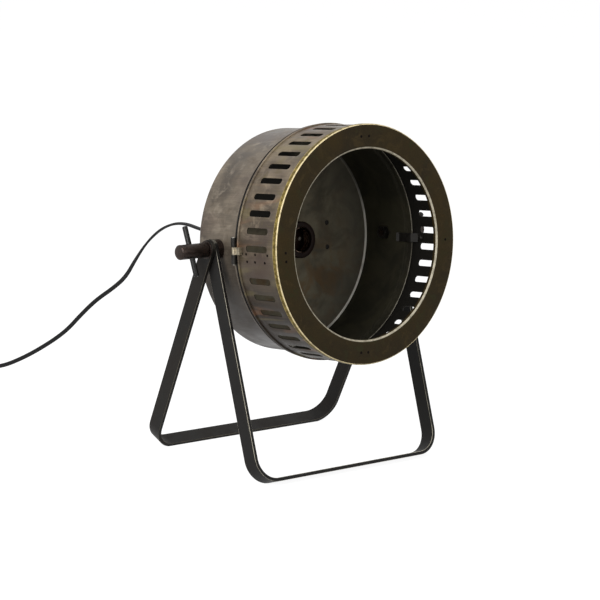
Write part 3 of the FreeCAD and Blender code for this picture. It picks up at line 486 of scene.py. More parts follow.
def ring_wear_and_highlights(tree, place, colour, roughness, grain):
    """Lip of olive brass, its two edges painted as thin pale lines, partly rubbed brass and partly painted
    highlight, and a pale grey line round the opening, also partly rubbed and partly painted highlight.
    """
    radius, forward = radius_and_forward(tree, place)
    patches = noise(tree, place, 5.0, 4, 0.65)
    lip = product(tree, ramp(tree, radius, RING_RADIUS - 0.9, RING_RADIUS - 0.5),
                ramp(tree, patches, 0.30, 0.62, 0.7, 1.0))
    brass = mix(tree, ramp(tree, patches, 0.42, 0.66), "#5d4f26", "#8d7c43")
    colour = mix(tree, lip, colour, brass)
    # Pale lines on the lip's front corner and rear edge: partly rubbed brass, partly painted highlight
    corner = product(tree, between(tree, radius, RING_RADIUS - 1.1, RING_RADIUS - 0.25, 0.2),
                   ramp(tree, forward, RING_FRONT - 1.1, RING_FRONT - 0.8))
    colour = mix(tree, product(tree, corner, ramp(tree, patches, 0.32, 0.52, 0.45, 1.0)), colour, "#dccba0")
    rear_edge = RING_FRONT - LIP_DEPTH
    rear = product(tree, ramp(tree, radius, RING_RADIUS - 0.8, RING_RADIUS - 0.5),
                 ramp(tree, forward, rear_edge + 1.0, rear_edge + 0.6))
    colour = mix(tree, product(tree, rear, ramp(tree, patches, 0.36, 0.56, 0.3, 0.9)), colour, "#b39f68")
    # Pale grey line round the opening: partly rubbed metal, partly painted highlight
    bead = product(tree, ramp(tree, radius, OPENING_RADIUS + 2.3, OPENING_RADIUS + 1.6),
                 ramp(tree, forward, RING_FRONT - 1.9, RING_FRONT - 1.2))
    colour = mix(tree, product(tree, bead, ramp(tree, patches, 0.3, 0.6, 0.5, 1.0)), colour, "#b9b19d")
    roughness = value(tree, "SUBTRACT", roughness, product(tree, lip, 0.12))
    return colour, roughness


def edge_mask(tree, across):
    """One on the eased edges between a face that looks along across and its neighbours."""
    normal = node(tree, "ShaderNodeNewGeometry").outputs["Normal"]
    lean = node(tree, "ShaderNodeVectorMath", {0: normal}, operation="DOT_PRODUCT")
    lean.inputs[1].default_value = across
    facing = value(tree, "ABSOLUTE", lean.outputs["Value"])
    return product(tree, ramp(tree, facing, 0.2, 0.5), ramp(tree, facing, 0.98, 0.85))


def bare_metal(name, body, dark, light, rough, metallic, size,
               specular=0.5, pale_edge_across=None, rubbed_edge_and_highlight="#cfc7b4"):
    """Plain or oiled metal: uneven tone, fine machining grain, and pale eased edges where an edge direction
    is given, partly rubbed bare and partly painted highlight.
    """
    material, tree = new_material(name)
    place = object_place(tree)
    clouds = noise(tree, place, size, 4, 0.6, distortion=0.5)
    grain = noise(tree, place, 0.6, 3, 0.6)
    colour = mix(tree, ramp(tree, clouds, 0.36, 0.60), dark, body)
    colour = mix(tree, ramp(tree, grain, 0.50, 0.75, 0.0, 0.5), colour, light)
    if pale_edge_across:
        height = node(tree, "ShaderNodeSeparateXYZ", {0: place}).outputs[2]
        # Pale eased edges: partly rubbed steel, partly painted highlight
        rubbed = product(tree, edge_mask(tree, pale_edge_across), ramp(tree, clouds, 0.35, 0.55, 0.45, 1.0))
        rubbed = product(tree, rubbed, ramp(tree, height, PIVOT_HEIGHT, PIVOT_HEIGHT - 12, 0.15, 1.0))
        colour = mix(tree, rubbed, colour, rubbed_edge_and_highlight)
    roughness = ramp(tree, clouds, 0.3, 0.7, rough[0], rough[1])
    surface(tree, colour, roughness, metallic, specular, grain, 0.01)
    return material


def moulded(name, body, mottle, roughness, size=6.0, depth=0.01, specular=0.5):
    """Moulded plastic or resin: nearly even colour, slight orange peel."""
    material, tree = new_material(name)
    place = object_place(tree)
    clouds = noise(tree, place, size, 3, 0.5)
    skin = noise(tree, place, 0.8, 2, 0.5)
    colour = mix(tree, ramp(tree, clouds, 0.35, 0.65), body, mottle)
    uneven = ramp(tree, skin, 0.3, 0.7, roughness * 0.85, roughness * 1.15)
    surface(tree, colour, uneven, 0.0, specular, skin, depth, 0.4)
    return material


def bar_across(direction):
    """Unit vector across the flat bar of the front (-1) or rear (+1) frame."""
    return (0.0, math.cos(LEAN), direction * math.sin(LEAN))


def make_materials():
    return {
        # Lacquered steel: warm grey-brown, cloudy, softly shining, with painted shade making it darker and
        # browner towards its underside
        "drum": lacquered_steel("patinated_steel_drum", "#6f6558", "#4a4239", "#8a7f70", "#554a3d",
                                metallic=0.35, specular=0.25, low="#2f2823", inside=drum_inside,
                                wear_and_painted_light=rim_wear_and_seam_shadow),
        "band": lacquered_steel("patinated_steel_band", "#746857", "#50463b", "#8a7c69", "#615739",
                                metallic=0.35, specular=0.25, low="#261f1a", streak_along=(1, 30, 1),
                                inside=band_inside, wear_and_painted_light=band_tints_and_bead_shadow),
        # Unpolished strip inside the band: dark and dull
        "tab": lacquered_steel("patinated_steel_tab", "#1d1a16", "#15130f", "#26221c", "#1a1710",
                               specular=0.15),
        # Bronzed ring: dark olive brown face, brass where hands rub it
        "ring": lacquered_steel("bronzed_steel_ring", "#2e2512", "#241c0c", "#3a2f19", "#2a2914",
                                metallic=0.2, specular=0.1, rough=(0.5, 0.65), streak_along=(1, 1, 1),
                                tint="#33270f", wear_and_painted_light=ring_wear_and_highlights),
        # Blackened flat bar: nearly neutral; paler at its eased edges, partly rubbed bare and partly
        # painted highlight, brighter on the front frame
        "front_bar": bare_metal("blackened_steel_front_bar", "#1a1918", "#121110", "#2a2926",
                                (0.42, 0.6), 0.0, 30, specular=0.12, pale_edge_across=bar_across(-1)),
        "rear_bar": bare_metal("blackened_steel_rear_bar", "#1d1a17", "#141311", "#302c27",
                               (0.42, 0.6), 0.0, 30, specular=0.12, pale_edge_across=bar_across(1),
                               rubbed_edge_and_highlight="#6f695d"),
        # Turned and oiled: dark brown with a soft shine
        "turned": bare_metal("oiled_turned_steel", "#2a2320", "#1d1816", "#6b4a38", (0.25, 0.42), 0.6, 7,
                             specular=0.3),
        # Black oxide rod: satin black
        "black_bar": bare_metal("black_oxide_bar", "#191817", "#121110", "#34322f", (0.3, 0.45), 0.3, 6,
                                specular=0.25),
        # Hinge knuckle, pale nickel, partly rubbed bare and partly a painted highlight: one small warm
        # glint
        "knuckle": bare_metal("nickel_knuckle_with_painted_highlight", "#a3977f", "#7f7768", "#c4bba6", (0.28, 0.45), 0.7, 3),
        # Dark grey steel, hardly shining; its darkness is partly painted shade, on the hinge's outer
        # knuckles and the nuts and catch inside the drum
        "dark_steel": bare_metal("dark_steel_with_painted_shade", "#24221f", "#1a1816", "#3a3733", (0.35, 0.5), 0.4, 5,
                                 specular=0.25),
        # Zinc plate: pale grey, slightly mottled
        "zinc": bare_metal("zinc_plated_steel", "#8f8c84", "#77746c", "#b5b2aa", (0.3, 0.5), 0.95, 5),
        # Clean brass: yellow and bright
        "brass": bare_metal("plain_brass", "#b09257", "#8f7340", "#d0b67c", (0.25, 0.42), 1.0, 5),
        # Bare cores of the cord: orange and bright
        "copper": bare_metal("bare_copper", "#b5714c", "#94583a", "#d0906a", (0.25, 0.4), 1.0, 2),
        # Spot welds: small burnt dimples
        "weld": bare_metal("burnt_spot_weld", "#0d0806", "#080605", "#20140f", (0.6, 0.8), 0.0, 1.5,
                           specular=0.04),
        # Pressed resin: deep brown-black with a wet gloss
        "resin": moulded("pressed_black_resin", "#140c0a", "#1c110c", 0.3, specular=0.06),
        # Screw shell gone dark brown: hard bright glints on its ridges
        "thread": bare_metal("browned_screw_shell", "#6b5a4e", "#4a3a30", "#8a7868", (0.1, 0.16), 1.0, 3),
        # Flexible cord and sleeves: black with a broad faint shine
        "pvc": moulded("soft_black_pvc", "#0e0e0f", "#141414", 0.45, 3.0, specular=0.2),
        # Contacts in an unused socket: brass coloured nearly black
        "dull_brass": bare_metal("darkened_brass", "#241a10", "#181109", "#3a2a17", (0.35, 0.5), 0.8, 3,
                                 specular=0.2),
        # Switch and plug: even, satin, nearly black
        "hard_plastic": moulded("satin_black_plastic", "#1a1a1a", "#202020", 0.36, 8.0, 0.02,
                                specular=0.35),
        # Pressed fibre washers: dry brown-black
        "fibre": moulded("vulcanised_fibre", "#1c1612", "#2a2019", 0.6, 2.0, 0.03, specular=0.3),
    }


# Slotted band

RING_FRONT = 104.0
RING_SHEET = 1.2
BAND_RADIUS = 129.8
BAND_SHEET = 1.2
BAND_REAR = 38.4
BEAD_RADIUS = 131.4
BEAD_DEPTH = 3.0
BAND_FRONT = RING_FRONT - RING_SHEET
SLOT_COUNT = 42
SLOT_PITCH = 8.4
SLOT_LENGTH = 34.0
SLOT_HEIGHT = 7.0
SLOT_CORNER = 2.9
SLOT_CENTRE = 70.0
BLANK_ANGLE = 186.4


def on_hoop(forward, across):
    """Point on the band, across millimetres round it from angle zero."""
    return at_angle(BAND_RADIUS, across / BAND_RADIUS, forward)


def slot_cell():
    """One pitch of the band round its slot, at angle zero, as (vertices, faces)."""
    half_pitch = math.radians(SLOT_PITCH / 2) * BAND_RADIUS
    half_length, half_height = SLOT_LENGTH / 2, SLOT_HEIGHT / 2
    arc_steps = 4
    pairs = []
    for forward_side, across_side in ((1, 1), (1, -1), (-1, -1), (-1, 1)):
        edge = (BAND_FRONT if forward_side > 0 else BAND_REAR) - SLOT_CENTRE
        corner_x = forward_side * (half_length - SLOT_CORNER)
        corner_y = across_side * (half_height - SLOT_CORNER)
        quarter = []
        outer = [(corner_x, half_pitch), ((corner_x + edge) / 2, half_pitch), (edge, half_pitch),
                 (edge, half_pitch * 0.55), (edge, abs(corner_y))]
        for step in range(arc_steps + 1):
            angle = math.pi / 2 * (1 - step / arc_steps)
            inner = (corner_x + forward_side * SLOT_CORNER * math.cos(angle),
                     corner_y + across_side * SLOT_CORNER * math.sin(angle))
            quarter.append((inner, (outer[step][0], across_side * outer[step][1])))
        if forward_side * across_side < 0:
            quarter.reverse()
        pairs += quarter
    vertices, faces = [], []
    for inner, outer in pairs:
        vertices.append(on_hoop(SLOT_CENTRE + inner[0], inner[1]))
        vertices.append(on_hoop(SLOT_CENTRE + outer[0], outer[1]))
    count = len(pairs)
    for index in range(count):
        ahead = (index + 1) % count
        faces.append((2 * index, 2 * ahead, 2 * ahead + 1, 2 * index + 1))
    return vertices, faces


def new_tree(name, result, inputs):
    """A Geometry Nodes tree with named inputs, each with its kind, and its input node."""
    tree = bpy.data.node_groups.new(name, "GeometryNodeTree")
    for label, kind in inputs:
        tree.interface.new_socket(label, in_out="INPUT", socket_type="NodeSocket" + kind)
    tree.interface.new_socket(result, in_out="OUTPUT", socket_type="NodeSocketGeometry")
    return tree, node(tree, "NodeGroupInput")


def finish_tree(tree, start, shapes):
    """Ends the tree with the shapes in the material of its Finish input."""
    finish = node(tree, "GeometryNodeSetMaterial",
                  {"Geometry": shapes.outputs[0], "Material": start.outputs["Finish"]})
    node(tree, "NodeGroupOutput", {0: finish.outputs[0]})
    return tree


def turning_tree():
    """Repeats the shape it is given round the lamp's axis, by a count and a pitch."""
    tree, start = new_tree("repeat_round_the_lamp", "Shape", [
        ("Shape", "Geometry"), ("Count", "Int"), ("Pitch angle", "Float"), ("First angle", "Float"),
        ("Finish", "Material")])
    points = node(tree, "GeometryNodePoints", {"Count": start.outputs["Count"]})
    order = node(tree, "GeometryNodeInputIndex").outputs[0]
    turned = value(tree, "MULTIPLY_ADD", order, start.outputs["Pitch angle"], start.outputs["First angle"])
    euler = node(tree, "ShaderNodeCombineXYZ", {"Y": product(tree, turned, -1.0)})
    copies = node(tree, "GeometryNodeInstanceOnPoints", {
        "Points": points.outputs[0], "Instance": start.outputs["Shape"], "Rotation": euler.outputs[0]})
    real = node(tree, "GeometryNodeRealizeInstances", {0: copies.outputs[0]})
    joined = node(tree, "GeometryNodeMergeByDistance", {"Geometry": real.outputs[0]}, Distance=0.01)
    return finish_tree(tree, start, joined)


def repeated(name, vertices, faces, tree, attributes=None, **inputs):
    """The shape after a Geometry Nodes tree with its named inputs set."""
    mesh = bpy.data.meshes.new(name)
    mesh.from_pydata([tuple(vertex) for vertex in vertices], [], faces)
    for key, vectors in (attributes or {}).items():
        stored = mesh.attributes.new(key, "FLOAT_VECTOR", "POINT")
        for element, vector in zip(stored.data, vectors):
            element.vector = vector
    holder = shown(name + "_holder", mesh)
    modifier = holder.modifiers.new(name, "NODES")
    modifier.node_group = tree
    sockets = {item.name: item.identifier for item in tree.interface.items_tree
               if item.item_type == "SOCKET" and item.in_out == "INPUT"}
    for key, amount in inputs.items():
        modifier[sockets[key.replace("_", " ")]] = amount
    return evaluated_mesh(holder)


def make_band(material, tree):
    first = BLANK_ANGLE + (360 - (SLOT_COUNT - 1) * SLOT_PITCH) / 2
    vertices, faces = slot_cell()
    slotted = repeated("slots", vertices, faces, tree, Count=SLOT_COUNT,
                       Pitch_angle=math.radians(SLOT_PITCH), First_angle=math.radians(first),
                       Finish=material)
    work = bmesh.new()
    work.from_mesh(slotted)
    half_blank = math.radians(360 - SLOT_COUNT * SLOT_PITCH) / 2 * BAND_RADIUS
    corner = SLOT_LENGTH / 2 - SLOT_CORNER
    rows = [BAND_REAR, (SLOT_CENTRE - corner + BAND_REAR) / 2, SLOT_CENTRE - corner,
            SLOT_CENTRE + corner, (SLOT_CENTRE + corner + BAND_FRONT) / 2, BAND_FRONT]
    columns = 4
    turn = Matrix.Rotation(-math.radians(BLANK_ANGLE), 4, "Y")
    grid = [[work.verts.new(turn @ on_hoop(row, half_blank * (2 * column / columns - 1)))
             for column in range(columns + 1)] for row in rows]
    for low, high in zip(grid, grid[1:]):
        for column in range(columns):
            work.faces.new((low[column], low[column + 1], high[column + 1], high[column]))
    bmesh.ops.remove_doubles(work, verts=work.verts, dist=0.02)
    turn_faces(work, 1)
    work.to_mesh(slotted)
    work.free()
    mesh = finished_mesh(slotted, [
        ("SOLIDIFY", dict(thickness=BAND_SHEET, offset=-1.0, use_even_offset=True)),
        ("BEVEL", dict(width=0.25, segments=2, limit_method="ANGLE", angle_limit=math.radians(50))),
    ])
    mesh.transform(HEAD)
    smooth(mesh, 40)
    add_mesh(mesh, lathe("rear_bead", [
        (BAND_RADIUS - 0.4, BAND_REAR + 0.05, 0),
        (BEAD_RADIUS, BAND_REAR + 0.05, 1.2),
        (BEAD_RADIUS, BAND_REAR + BEAD_DEPTH, 1.2),
        (BAND_RADIUS - 0.4, BAND_REAR + BEAD_DEPTH, 0),
    ]))
    return new_piece("slotted_hoop", mesh, material, "door", ["slotted_band"])


# Drum and ring

OPENING_RADIUS = 104.0
RING_RADIUS = 131.2
LIP_DEPTH = 6.0
DRUM_RADIUS = 125.0
DRUM_SHEET = 1.2
DRUM_CORNER = 4.0
DRUM_FRONT = 36.6
DRUM_BACK = -34.4
RIM_RADIUS = 130.6
RIM_DEPTH = 4.0
SPIGOT_RADIUS = 128.0
SPIGOT_FRONT = 41.0
NIPPLE_RADIUS = 5.0


def make_drum(material):
    inner = DRUM_RADIUS - DRUM_SHEET
    mesh = lathe("drum_shell", [
        (NIPPLE_RADIUS, DRUM_BACK, 0),
        (DRUM_RADIUS, DRUM_BACK, DRUM_CORNER),
        (DRUM_RADIUS, DRUM_FRONT - RIM_DEPTH, 0.6),
        (RIM_RADIUS, DRUM_FRONT - RIM_DEPTH, 1.2),
        (RIM_RADIUS, DRUM_FRONT, 1.2),
        (SPIGOT_RADIUS, DRUM_FRONT, 0),
        (SPIGOT_RADIUS, SPIGOT_FRONT, 0.4),
        (SPIGOT_RADIUS - DRUM_SHEET, SPIGOT_FRONT, 0.4),
        (SPIGOT_RADIUS - DRUM_SHEET, DRUM_FRONT - RIM_DEPTH + DRUM_SHEET, 0.6),
        (inner, DRUM_FRONT - RIM_DEPTH, 0.6),
        (inner, DRUM_BACK + DRUM_SHEET, DRUM_CORNER - DRUM_SHEET),
        (NIPPLE_RADIUS, DRUM_BACK + DRUM_SHEET, 0),
    ])
    return new_piece("drum_shell", mesh, material, "head", ["rear_drum"])


def make_ring(material):
    back = RING_FRONT - RING_SHEET
    inner_lip = 5.0
    mesh = lathe("door_ring", [
        (RING_RADIUS, RING_FRONT, 1.5),
        (OPENING_RADIUS, RING_FRONT, 2.4),
        (OPENING_RADIUS, RING_FRONT - inner_lip, 0.4),
        (OPENING_RADIUS + RING_SHEET, RING_FRONT - inner_lip, 0.4),
        (OPENING_RADIUS + RING_SHEET, back, 1.2),
        (RING_RADIUS - RING_SHEET, back, 0.3),
        (RING_RADIUS - RING_SHEET, RING_FRONT - LIP_DEPTH, 0.4),
        (RING_RADIUS, RING_FRONT - LIP_DEPTH, 0.4),
    ])
    return new_piece("door_ring", mesh, material, "door", ["front_ring"])


# Spot welds

WELD_CIRCLE = 117.7
RING_WELD_ANGLES = (87.5, 93.0, 180.0, 184.5, 263.5, 268.5, 358.5)
WELD_RADIUS = 1.5
WELD_HEIGHT = 0.22
SEAM_WELDS = ((181.2, 46), (181.2, 53), (181.2, 68), (181.2, 88), (184.8, 54), (184.8, 67), (184.8, 83))


def weld_tree():
    """Puts a low dome at every point, looking the way that the point's facing attribute says."""
    tree, start = new_tree("spot_welds", "Welds", [
        ("Places", "Geometry"), ("Radius", "Float"), ("Height", "Float"), ("Finish", "Material")])
    dome = node(tree, "GeometryNodeMeshUVSphere", Segments=12, Rings=6, Radius=1.0)
    facing = node(tree, "GeometryNodeInputNamedAttribute", data_type="FLOAT_VECTOR", Name="facing")
    turn = node(tree, "FunctionNodeAlignRotationToVector", {"Vector": facing.outputs[0]}, axis="Z")
    size = node(tree, "ShaderNodeCombineXYZ", {
        0: start.outputs["Radius"], 1: start.outputs["Radius"], 2: start.outputs["Height"]})
    copies = node(tree, "GeometryNodeInstanceOnPoints", {
        "Points": start.outputs["Places"], "Instance": dome.outputs[0],
        "Rotation": turn.outputs[0], "Scale": size.outputs[0]})
    real = node(tree, "GeometryNodeRealizeInstances", {0: copies.outputs[0]})
    return finish_tree(tree, start, real)


def make_welds(material, tree):
    """Burnt spot welds on the ring's face and in the band's blank."""
    places, facings = [], []
    for degrees in RING_WELD_ANGLES:
        angle = math.radians(degrees)
        places.append(at_angle(WELD_CIRCLE, angle, RING_FRONT))
        facings.append(Vector((0, -1, 0)))
    for degrees, forward in SEAM_WELDS:
        angle = math.radians(degrees)
        places.append(at_angle(BAND_RADIUS, angle, forward))
        facings.append(at_angle(1.0, angle))
    mesh = repeated("welds", places, [], tree, attributes={"facing": facings},
                    Radius=WELD_RADIUS, Height=WELD_HEIGHT, Finish=material)
    mesh.transform(HEAD)
    smooth(mesh, 60)
    return new_piece("spot_welds", mesh, material, "door")


# Lampholder

HOLDER_RADIUS = 20.7
HOLDER_LENGTH = 28.5
HOLDER_WALL = 4.5
HOLDER_BACK = DRUM_BACK + DRUM_SHEET
HOLDER_FRONT = HOLDER_BACK + HOLDER_LENGTH
HOLDER_FLOOR = HOLDER_BACK + 6.0
HOLDER_BORE = HOLDER_RADIUS - HOLDER_WALL
LINER_FRONT = HOLDER_FRONT - 2.0
LINER_REAR = HOLDER_FLOOR + 9.6
SOCKET_RADIUS = 13.3
SOCKET_CLEARANCE = 1.1
THREAD_PITCH = 3.62
THREAD_DEPTH = 0.8


def make_holder(material):
    mesh = lathe("holder_cup", [
        (NIPPLE_RADIUS, HOLDER_BACK, 0),
        (HOLDER_RADIUS - 1.0, HOLDER_BACK, 1.0),
        (HOLDER_RADIUS, HOLDER_FLOOR, 2.0),
        (HOLDER_RADIUS, HOLDER_FRONT, 1.6),
        (SOCKET_RADIUS + SOCKET_CLEARANCE, HOLDER_FRONT, 0.8),
        (SOCKET_RADIUS + SOCKET_CLEARANCE, LINER_FRONT, 0),
        (HOLDER_BORE, LINER_FRONT, 0),
        (HOLDER_BORE, HOLDER_FLOOR, 1.5),
        (NIPPLE_RADIUS, HOLDER_FLOOR, 0),
    ], steps=96)
    return new_piece("holder_cup", mesh, material, "head", ["holder_body"])


def make_thread(material):
    """Rolled screw thread inside the socket, one ridge winding along it."""
    around, along = 72, 80
    wall = 0.5
    vertices = []
    length = LINER_FRONT - LINER_REAR
    for step in range(along + 1):
        forward = LINER_REAR + length * step / along
        fade = min(1.0, 4 * step / along, 4 * (1 - step / along))
        for turn in range(around):
            angle = 2 * math.pi * turn / around
            phase = 2 * math.pi * (forward / THREAD_PITCH) - angle
            radius = SOCKET_RADIUS + 0.2 - THREAD_DEPTH * fade * (0.5 + 0.5 * math.cos(phase)) ** 0.8
            vertices.append(at_angle(radius, angle, forward))
    mesh = mesh_from("thread_shell", vertices, tube_faces(along + 1, around), turn_out=False)
    work = bmesh.new()
    work.from_mesh(mesh)
    work.normal_update()
    turn_faces(work, -1)
    work.to_mesh(mesh)
    work.free()
    mesh = finished_mesh(mesh, [("SOLIDIFY", dict(thickness=wall, offset=-1.0))])
    mesh.transform(HEAD)
    smooth(mesh, 60)
    return new_piece("thread_shell", mesh, material, "head", ["socket_liner"])


# Cords, with the route points of part.py

def placed(points):
    return [PLACED @ Vector(point) for point in points]


def exit_point(reach):
    return (0.0, reach * math.cos(REST_TILT), PIVOT_HEIGHT - reach * math.sin(REST_TILT))


SWITCH_X, SWITCH_Y = -162.0, 545.0
SWITCH_LENGTH = 60.0
SWITCH_HEIGHT = 17.0
SWITCH_NEAR = SWITCH_X + SWITCH_LENGTH / 2
SWITCH_FAR = SWITCH_X - SWITCH_LENGTH / 2
CORD_LEVEL = SWITCH_HEIGHT / 2
CORD_EXIT = 72.0
CORD_WIDTH = 5.2
CORD_THICKNESS = 3.3

LEAD_ROUTE = [
    exit_point(CORD_EXIT), exit_point(CORD_EXIT + 30),
    (0, 138, 225.8), (0, 180, 224.3), (0, 221, 227.6), (0, 256, 216.2), (-2, 284, 193.5),
    (-5, 303, 167), (-10, 314, 144), (-21, 325, 128.5), (-30, 346, 110.8), (-41, 361, 90.3),
    (-52, 375, 68.2),
    (-63, 398, 47.6), (-75, 430, 25), (-90, 460, 7.5), (-93, 491, 2.6), (-94, 519, 2.6), (-102, 536, 5),
    (-117, SWITCH_Y, CORD_LEVEL), (SWITCH_NEAR, SWITCH_Y, CORD_LEVEL),
]

COIL_X, COIL_Y = -202.65, 489.2
COIL_OUTER = 34.35
COIL_STEP = 5.6
COIL_TURNS = 3
COIL_LOW, COIL_HIGH = 3.2, 9.2
COIL_START_X = COIL_X - COIL_OUTER
COIL_END_X = COIL_START_X - COIL_STEP / 2
LINK_ROUTE = [
    (SWITCH_FAR, SWITCH_Y, CORD_LEVEL), (SWITCH_FAR - 14, SWITCH_Y, CORD_LEVEL),
    (-225, 534, 6), (COIL_START_X, 516.5, COIL_LOW),
]
PLUG_AXIS = 13.7 / 2
PLUG_X = COIL_END_X - 1.4
PLUG_ENTRY = COIL_Y - 64
TAIL_ROUTE = [
    (COIL_END_X, COIL_Y - 18, COIL_HIGH), (COIL_END_X - 1, COIL_Y - 34, 7.9),
    (PLUG_X, COIL_Y - 50, PLUG_AXIS), (PLUG_X, PLUG_ENTRY, PLUG_AXIS),
]


def coil_points(per_half_turn=8):
    """Control points of the flat coil: three turns inwards, up a layer, and out again."""
    radii = [COIL_OUTER - step * COIL_STEP / 2 for step in range(2 * COIL_TURNS + 1)]
    levels = [COIL_LOW] * len(radii)
    outward = [radii[-1] + step * COIL_STEP / 2 for step in range(2 * COIL_TURNS + 2)]
    radii += outward
    levels += [COIL_HIGH] * len(outward)
    points = []
    for index in range(len(radii) - 1):
        for step in range(per_half_turn):
            share = step / per_half_turn
            angle = math.pi * (1 + index + share)
            widen = 1 / math.cos(math.pi / per_half_turn / 2)
            radius = (radii[index] + (radii[index + 1] - radii[index]) * share) * widen
            level = levels[index] + (levels[index + 1] - levels[index]) * share
            points.append((COIL_X + radius * math.cos(angle), COIL_Y + radius * math.sin(angle), level))
    points.append((COIL_END_X, COIL_Y, COIL_HIGH))
    return points


def spline_line(name, points):
    """Points along a NURBS curve that has the route's points as its control points."""
    curve = bpy.data.curves.new(name, "CURVE")
    curve.dimensions = "3D"
    curve.resolution_u = 10
    spline = curve.splines.new("NURBS")
    spline.points.add(len(points) - 1)
    for target, point in zip(spline.points, points):
        target.co = (*point, 1.0)
    spline.order_u = 3
    spline.use_endpoint_u = True
    line = evaluated_mesh(shown(name, curve))
    path = [vertex.co.copy() for vertex in line.vertices]
    bpy.data.meshes.remove(line)
    return path


def twin_section(count=20):
    """Outline of two cores side by side, as (across, up) in millimetres."""
    core = CORD_THICKNESS / 2
    apart = (CORD_WIDTH - CORD_THICKNESS) / 2
    outline = []
    for step in range(count):
        angle = 2 * math.pi * step / count
        across, up = math.cos(angle), math.sin(angle)
        side = apart if across >= 0 else -apart
        waist = 1 - 0.16 * max(0.0, 1 - abs(across) / 0.45)
        outline.append((side + core * across, core * up * waist))
    return outline


def twin_cord(name, route, roll):
    """Flat twin cord along the route; roll gives its turn in degrees at a share of its length."""
    path = spline_line(name + "_line", route)
    outline = twin_section()
    total = sum((b - a).length for a, b in zip(path, path[1:]))
    vertices = []
    travelled = 0.0
    for index, point in enumerate(path):
        before, after = path[max(index - 1, 0)], path[min(index + 1, len(path) - 1)]
        along = (after - before).normalized()
        side = along.cross(Vector((0, 0, 1)))
        side.normalize()
        above = side.cross(along)
        if index:
            travelled += (point - path[index - 1]).length
        turn = math.radians(roll(travelled / total))
        across = side * math.cos(turn) + above * math.sin(turn)
        upward = above * math.cos(turn) - side * math.sin(turn)
        for x, y in outline:
            vertices.append(point + (across * x + upward * y) * MM)
    count = len(outline)
    faces = tube_faces(len(path), count)
    faces.append(tuple(range(count))[::-1])
    faces.append(tuple(range((len(path) - 1) * count, len(path) * count)))
    mesh = smooth(mesh_from(name, vertices, faces), 60)
    return mesh, path, total


def blend_between(share, marks):
    """Smooth value between (share, value) marks."""
    for (start, low), (end, high) in zip(marks, marks[1:]):
        if share <= end:
            part = max(0.0, (share - start) / (end - start))
            return low + (high - low) * part * part * (3 - 2 * part)
    return marks[-1][1]


def make_cords(materials, fittings):
    lead, path, length = twin_cord(
        "lead_cord", placed(LEAD_ROUTE),
        lambda share: blend_between(share, [(0, 5), (0.3, 10), (0.52, 95), (0.8, 92), (0.92, 0), (1, 0)]))
    piece = new_piece("lead_cord", lead, materials["pvc"], None, ["cord_lead"])
    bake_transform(piece)
    rest = LINK_ROUTE + coil_points() + TAIL_ROUTE
    lower, path, length = twin_cord("coiled_cord", placed(rest), lambda share: 0)
    piece = new_piece("coiled_cord", lower, materials["pvc"], "stand",
                      ["cord_link", "cord_coil", "cord_tail"])


# Fittings that keep their CAD shape

def ribbed_sleeve(name, part, material, rear, front, thick, thin, axis):
    """Soft sleeve that tapers to its rear end, with grooves moulded round it."""
    ribs = 7
    pitch = (front - rear) / ribs
    groove = 0.7
    corners = [(CORD_THICKNESS / 2, rear, 0)]
    for rib in range(ribs):
        start = rear + rib * pitch
        radius = thin + (thick - thin) * (rib + 0.5) / ribs
        corners += [(radius, start + 0.2, 0.25), (radius, start + pitch * 0.62, 0.25),
                    (radius - groove, start + pitch * 0.68, 0.15),
                    (radius - groove, start + pitch * 0.95, 0.15)]
    corners += [(thick, front - 0.4, 0.2), (thick, front, 0.2), (CORD_THICKNESS / 2, front, 0)]
    mesh = lathe(name, corners, steps=32, segments=2, axis=axis)
    return new_piece(name, mesh, material, BODY_OF[part], [part])


PLUG_SLEEVE = 26.0
CORD_GRIP_END = 46.0


def make_sleeves(material):
    """The two ribbed strain reliefs, behind the drum and behind the plug."""
    plug_axis = PLACED @ Matrix.Translation((PLUG_X, 0, PLUG_AXIS))
    ribbed_sleeve("lamp_sleeve", "strain_relief", material, -CORD_EXIT, -CORD_GRIP_END, 4.6, 3.2, HEAD)
    return ribbed_sleeve("plug_sleeve", "plug_strain_relief", material, -PLUG_ENTRY,
                         PLUG_SLEEVE - PLUG_ENTRY, 4.8, 3.2, plug_axis)


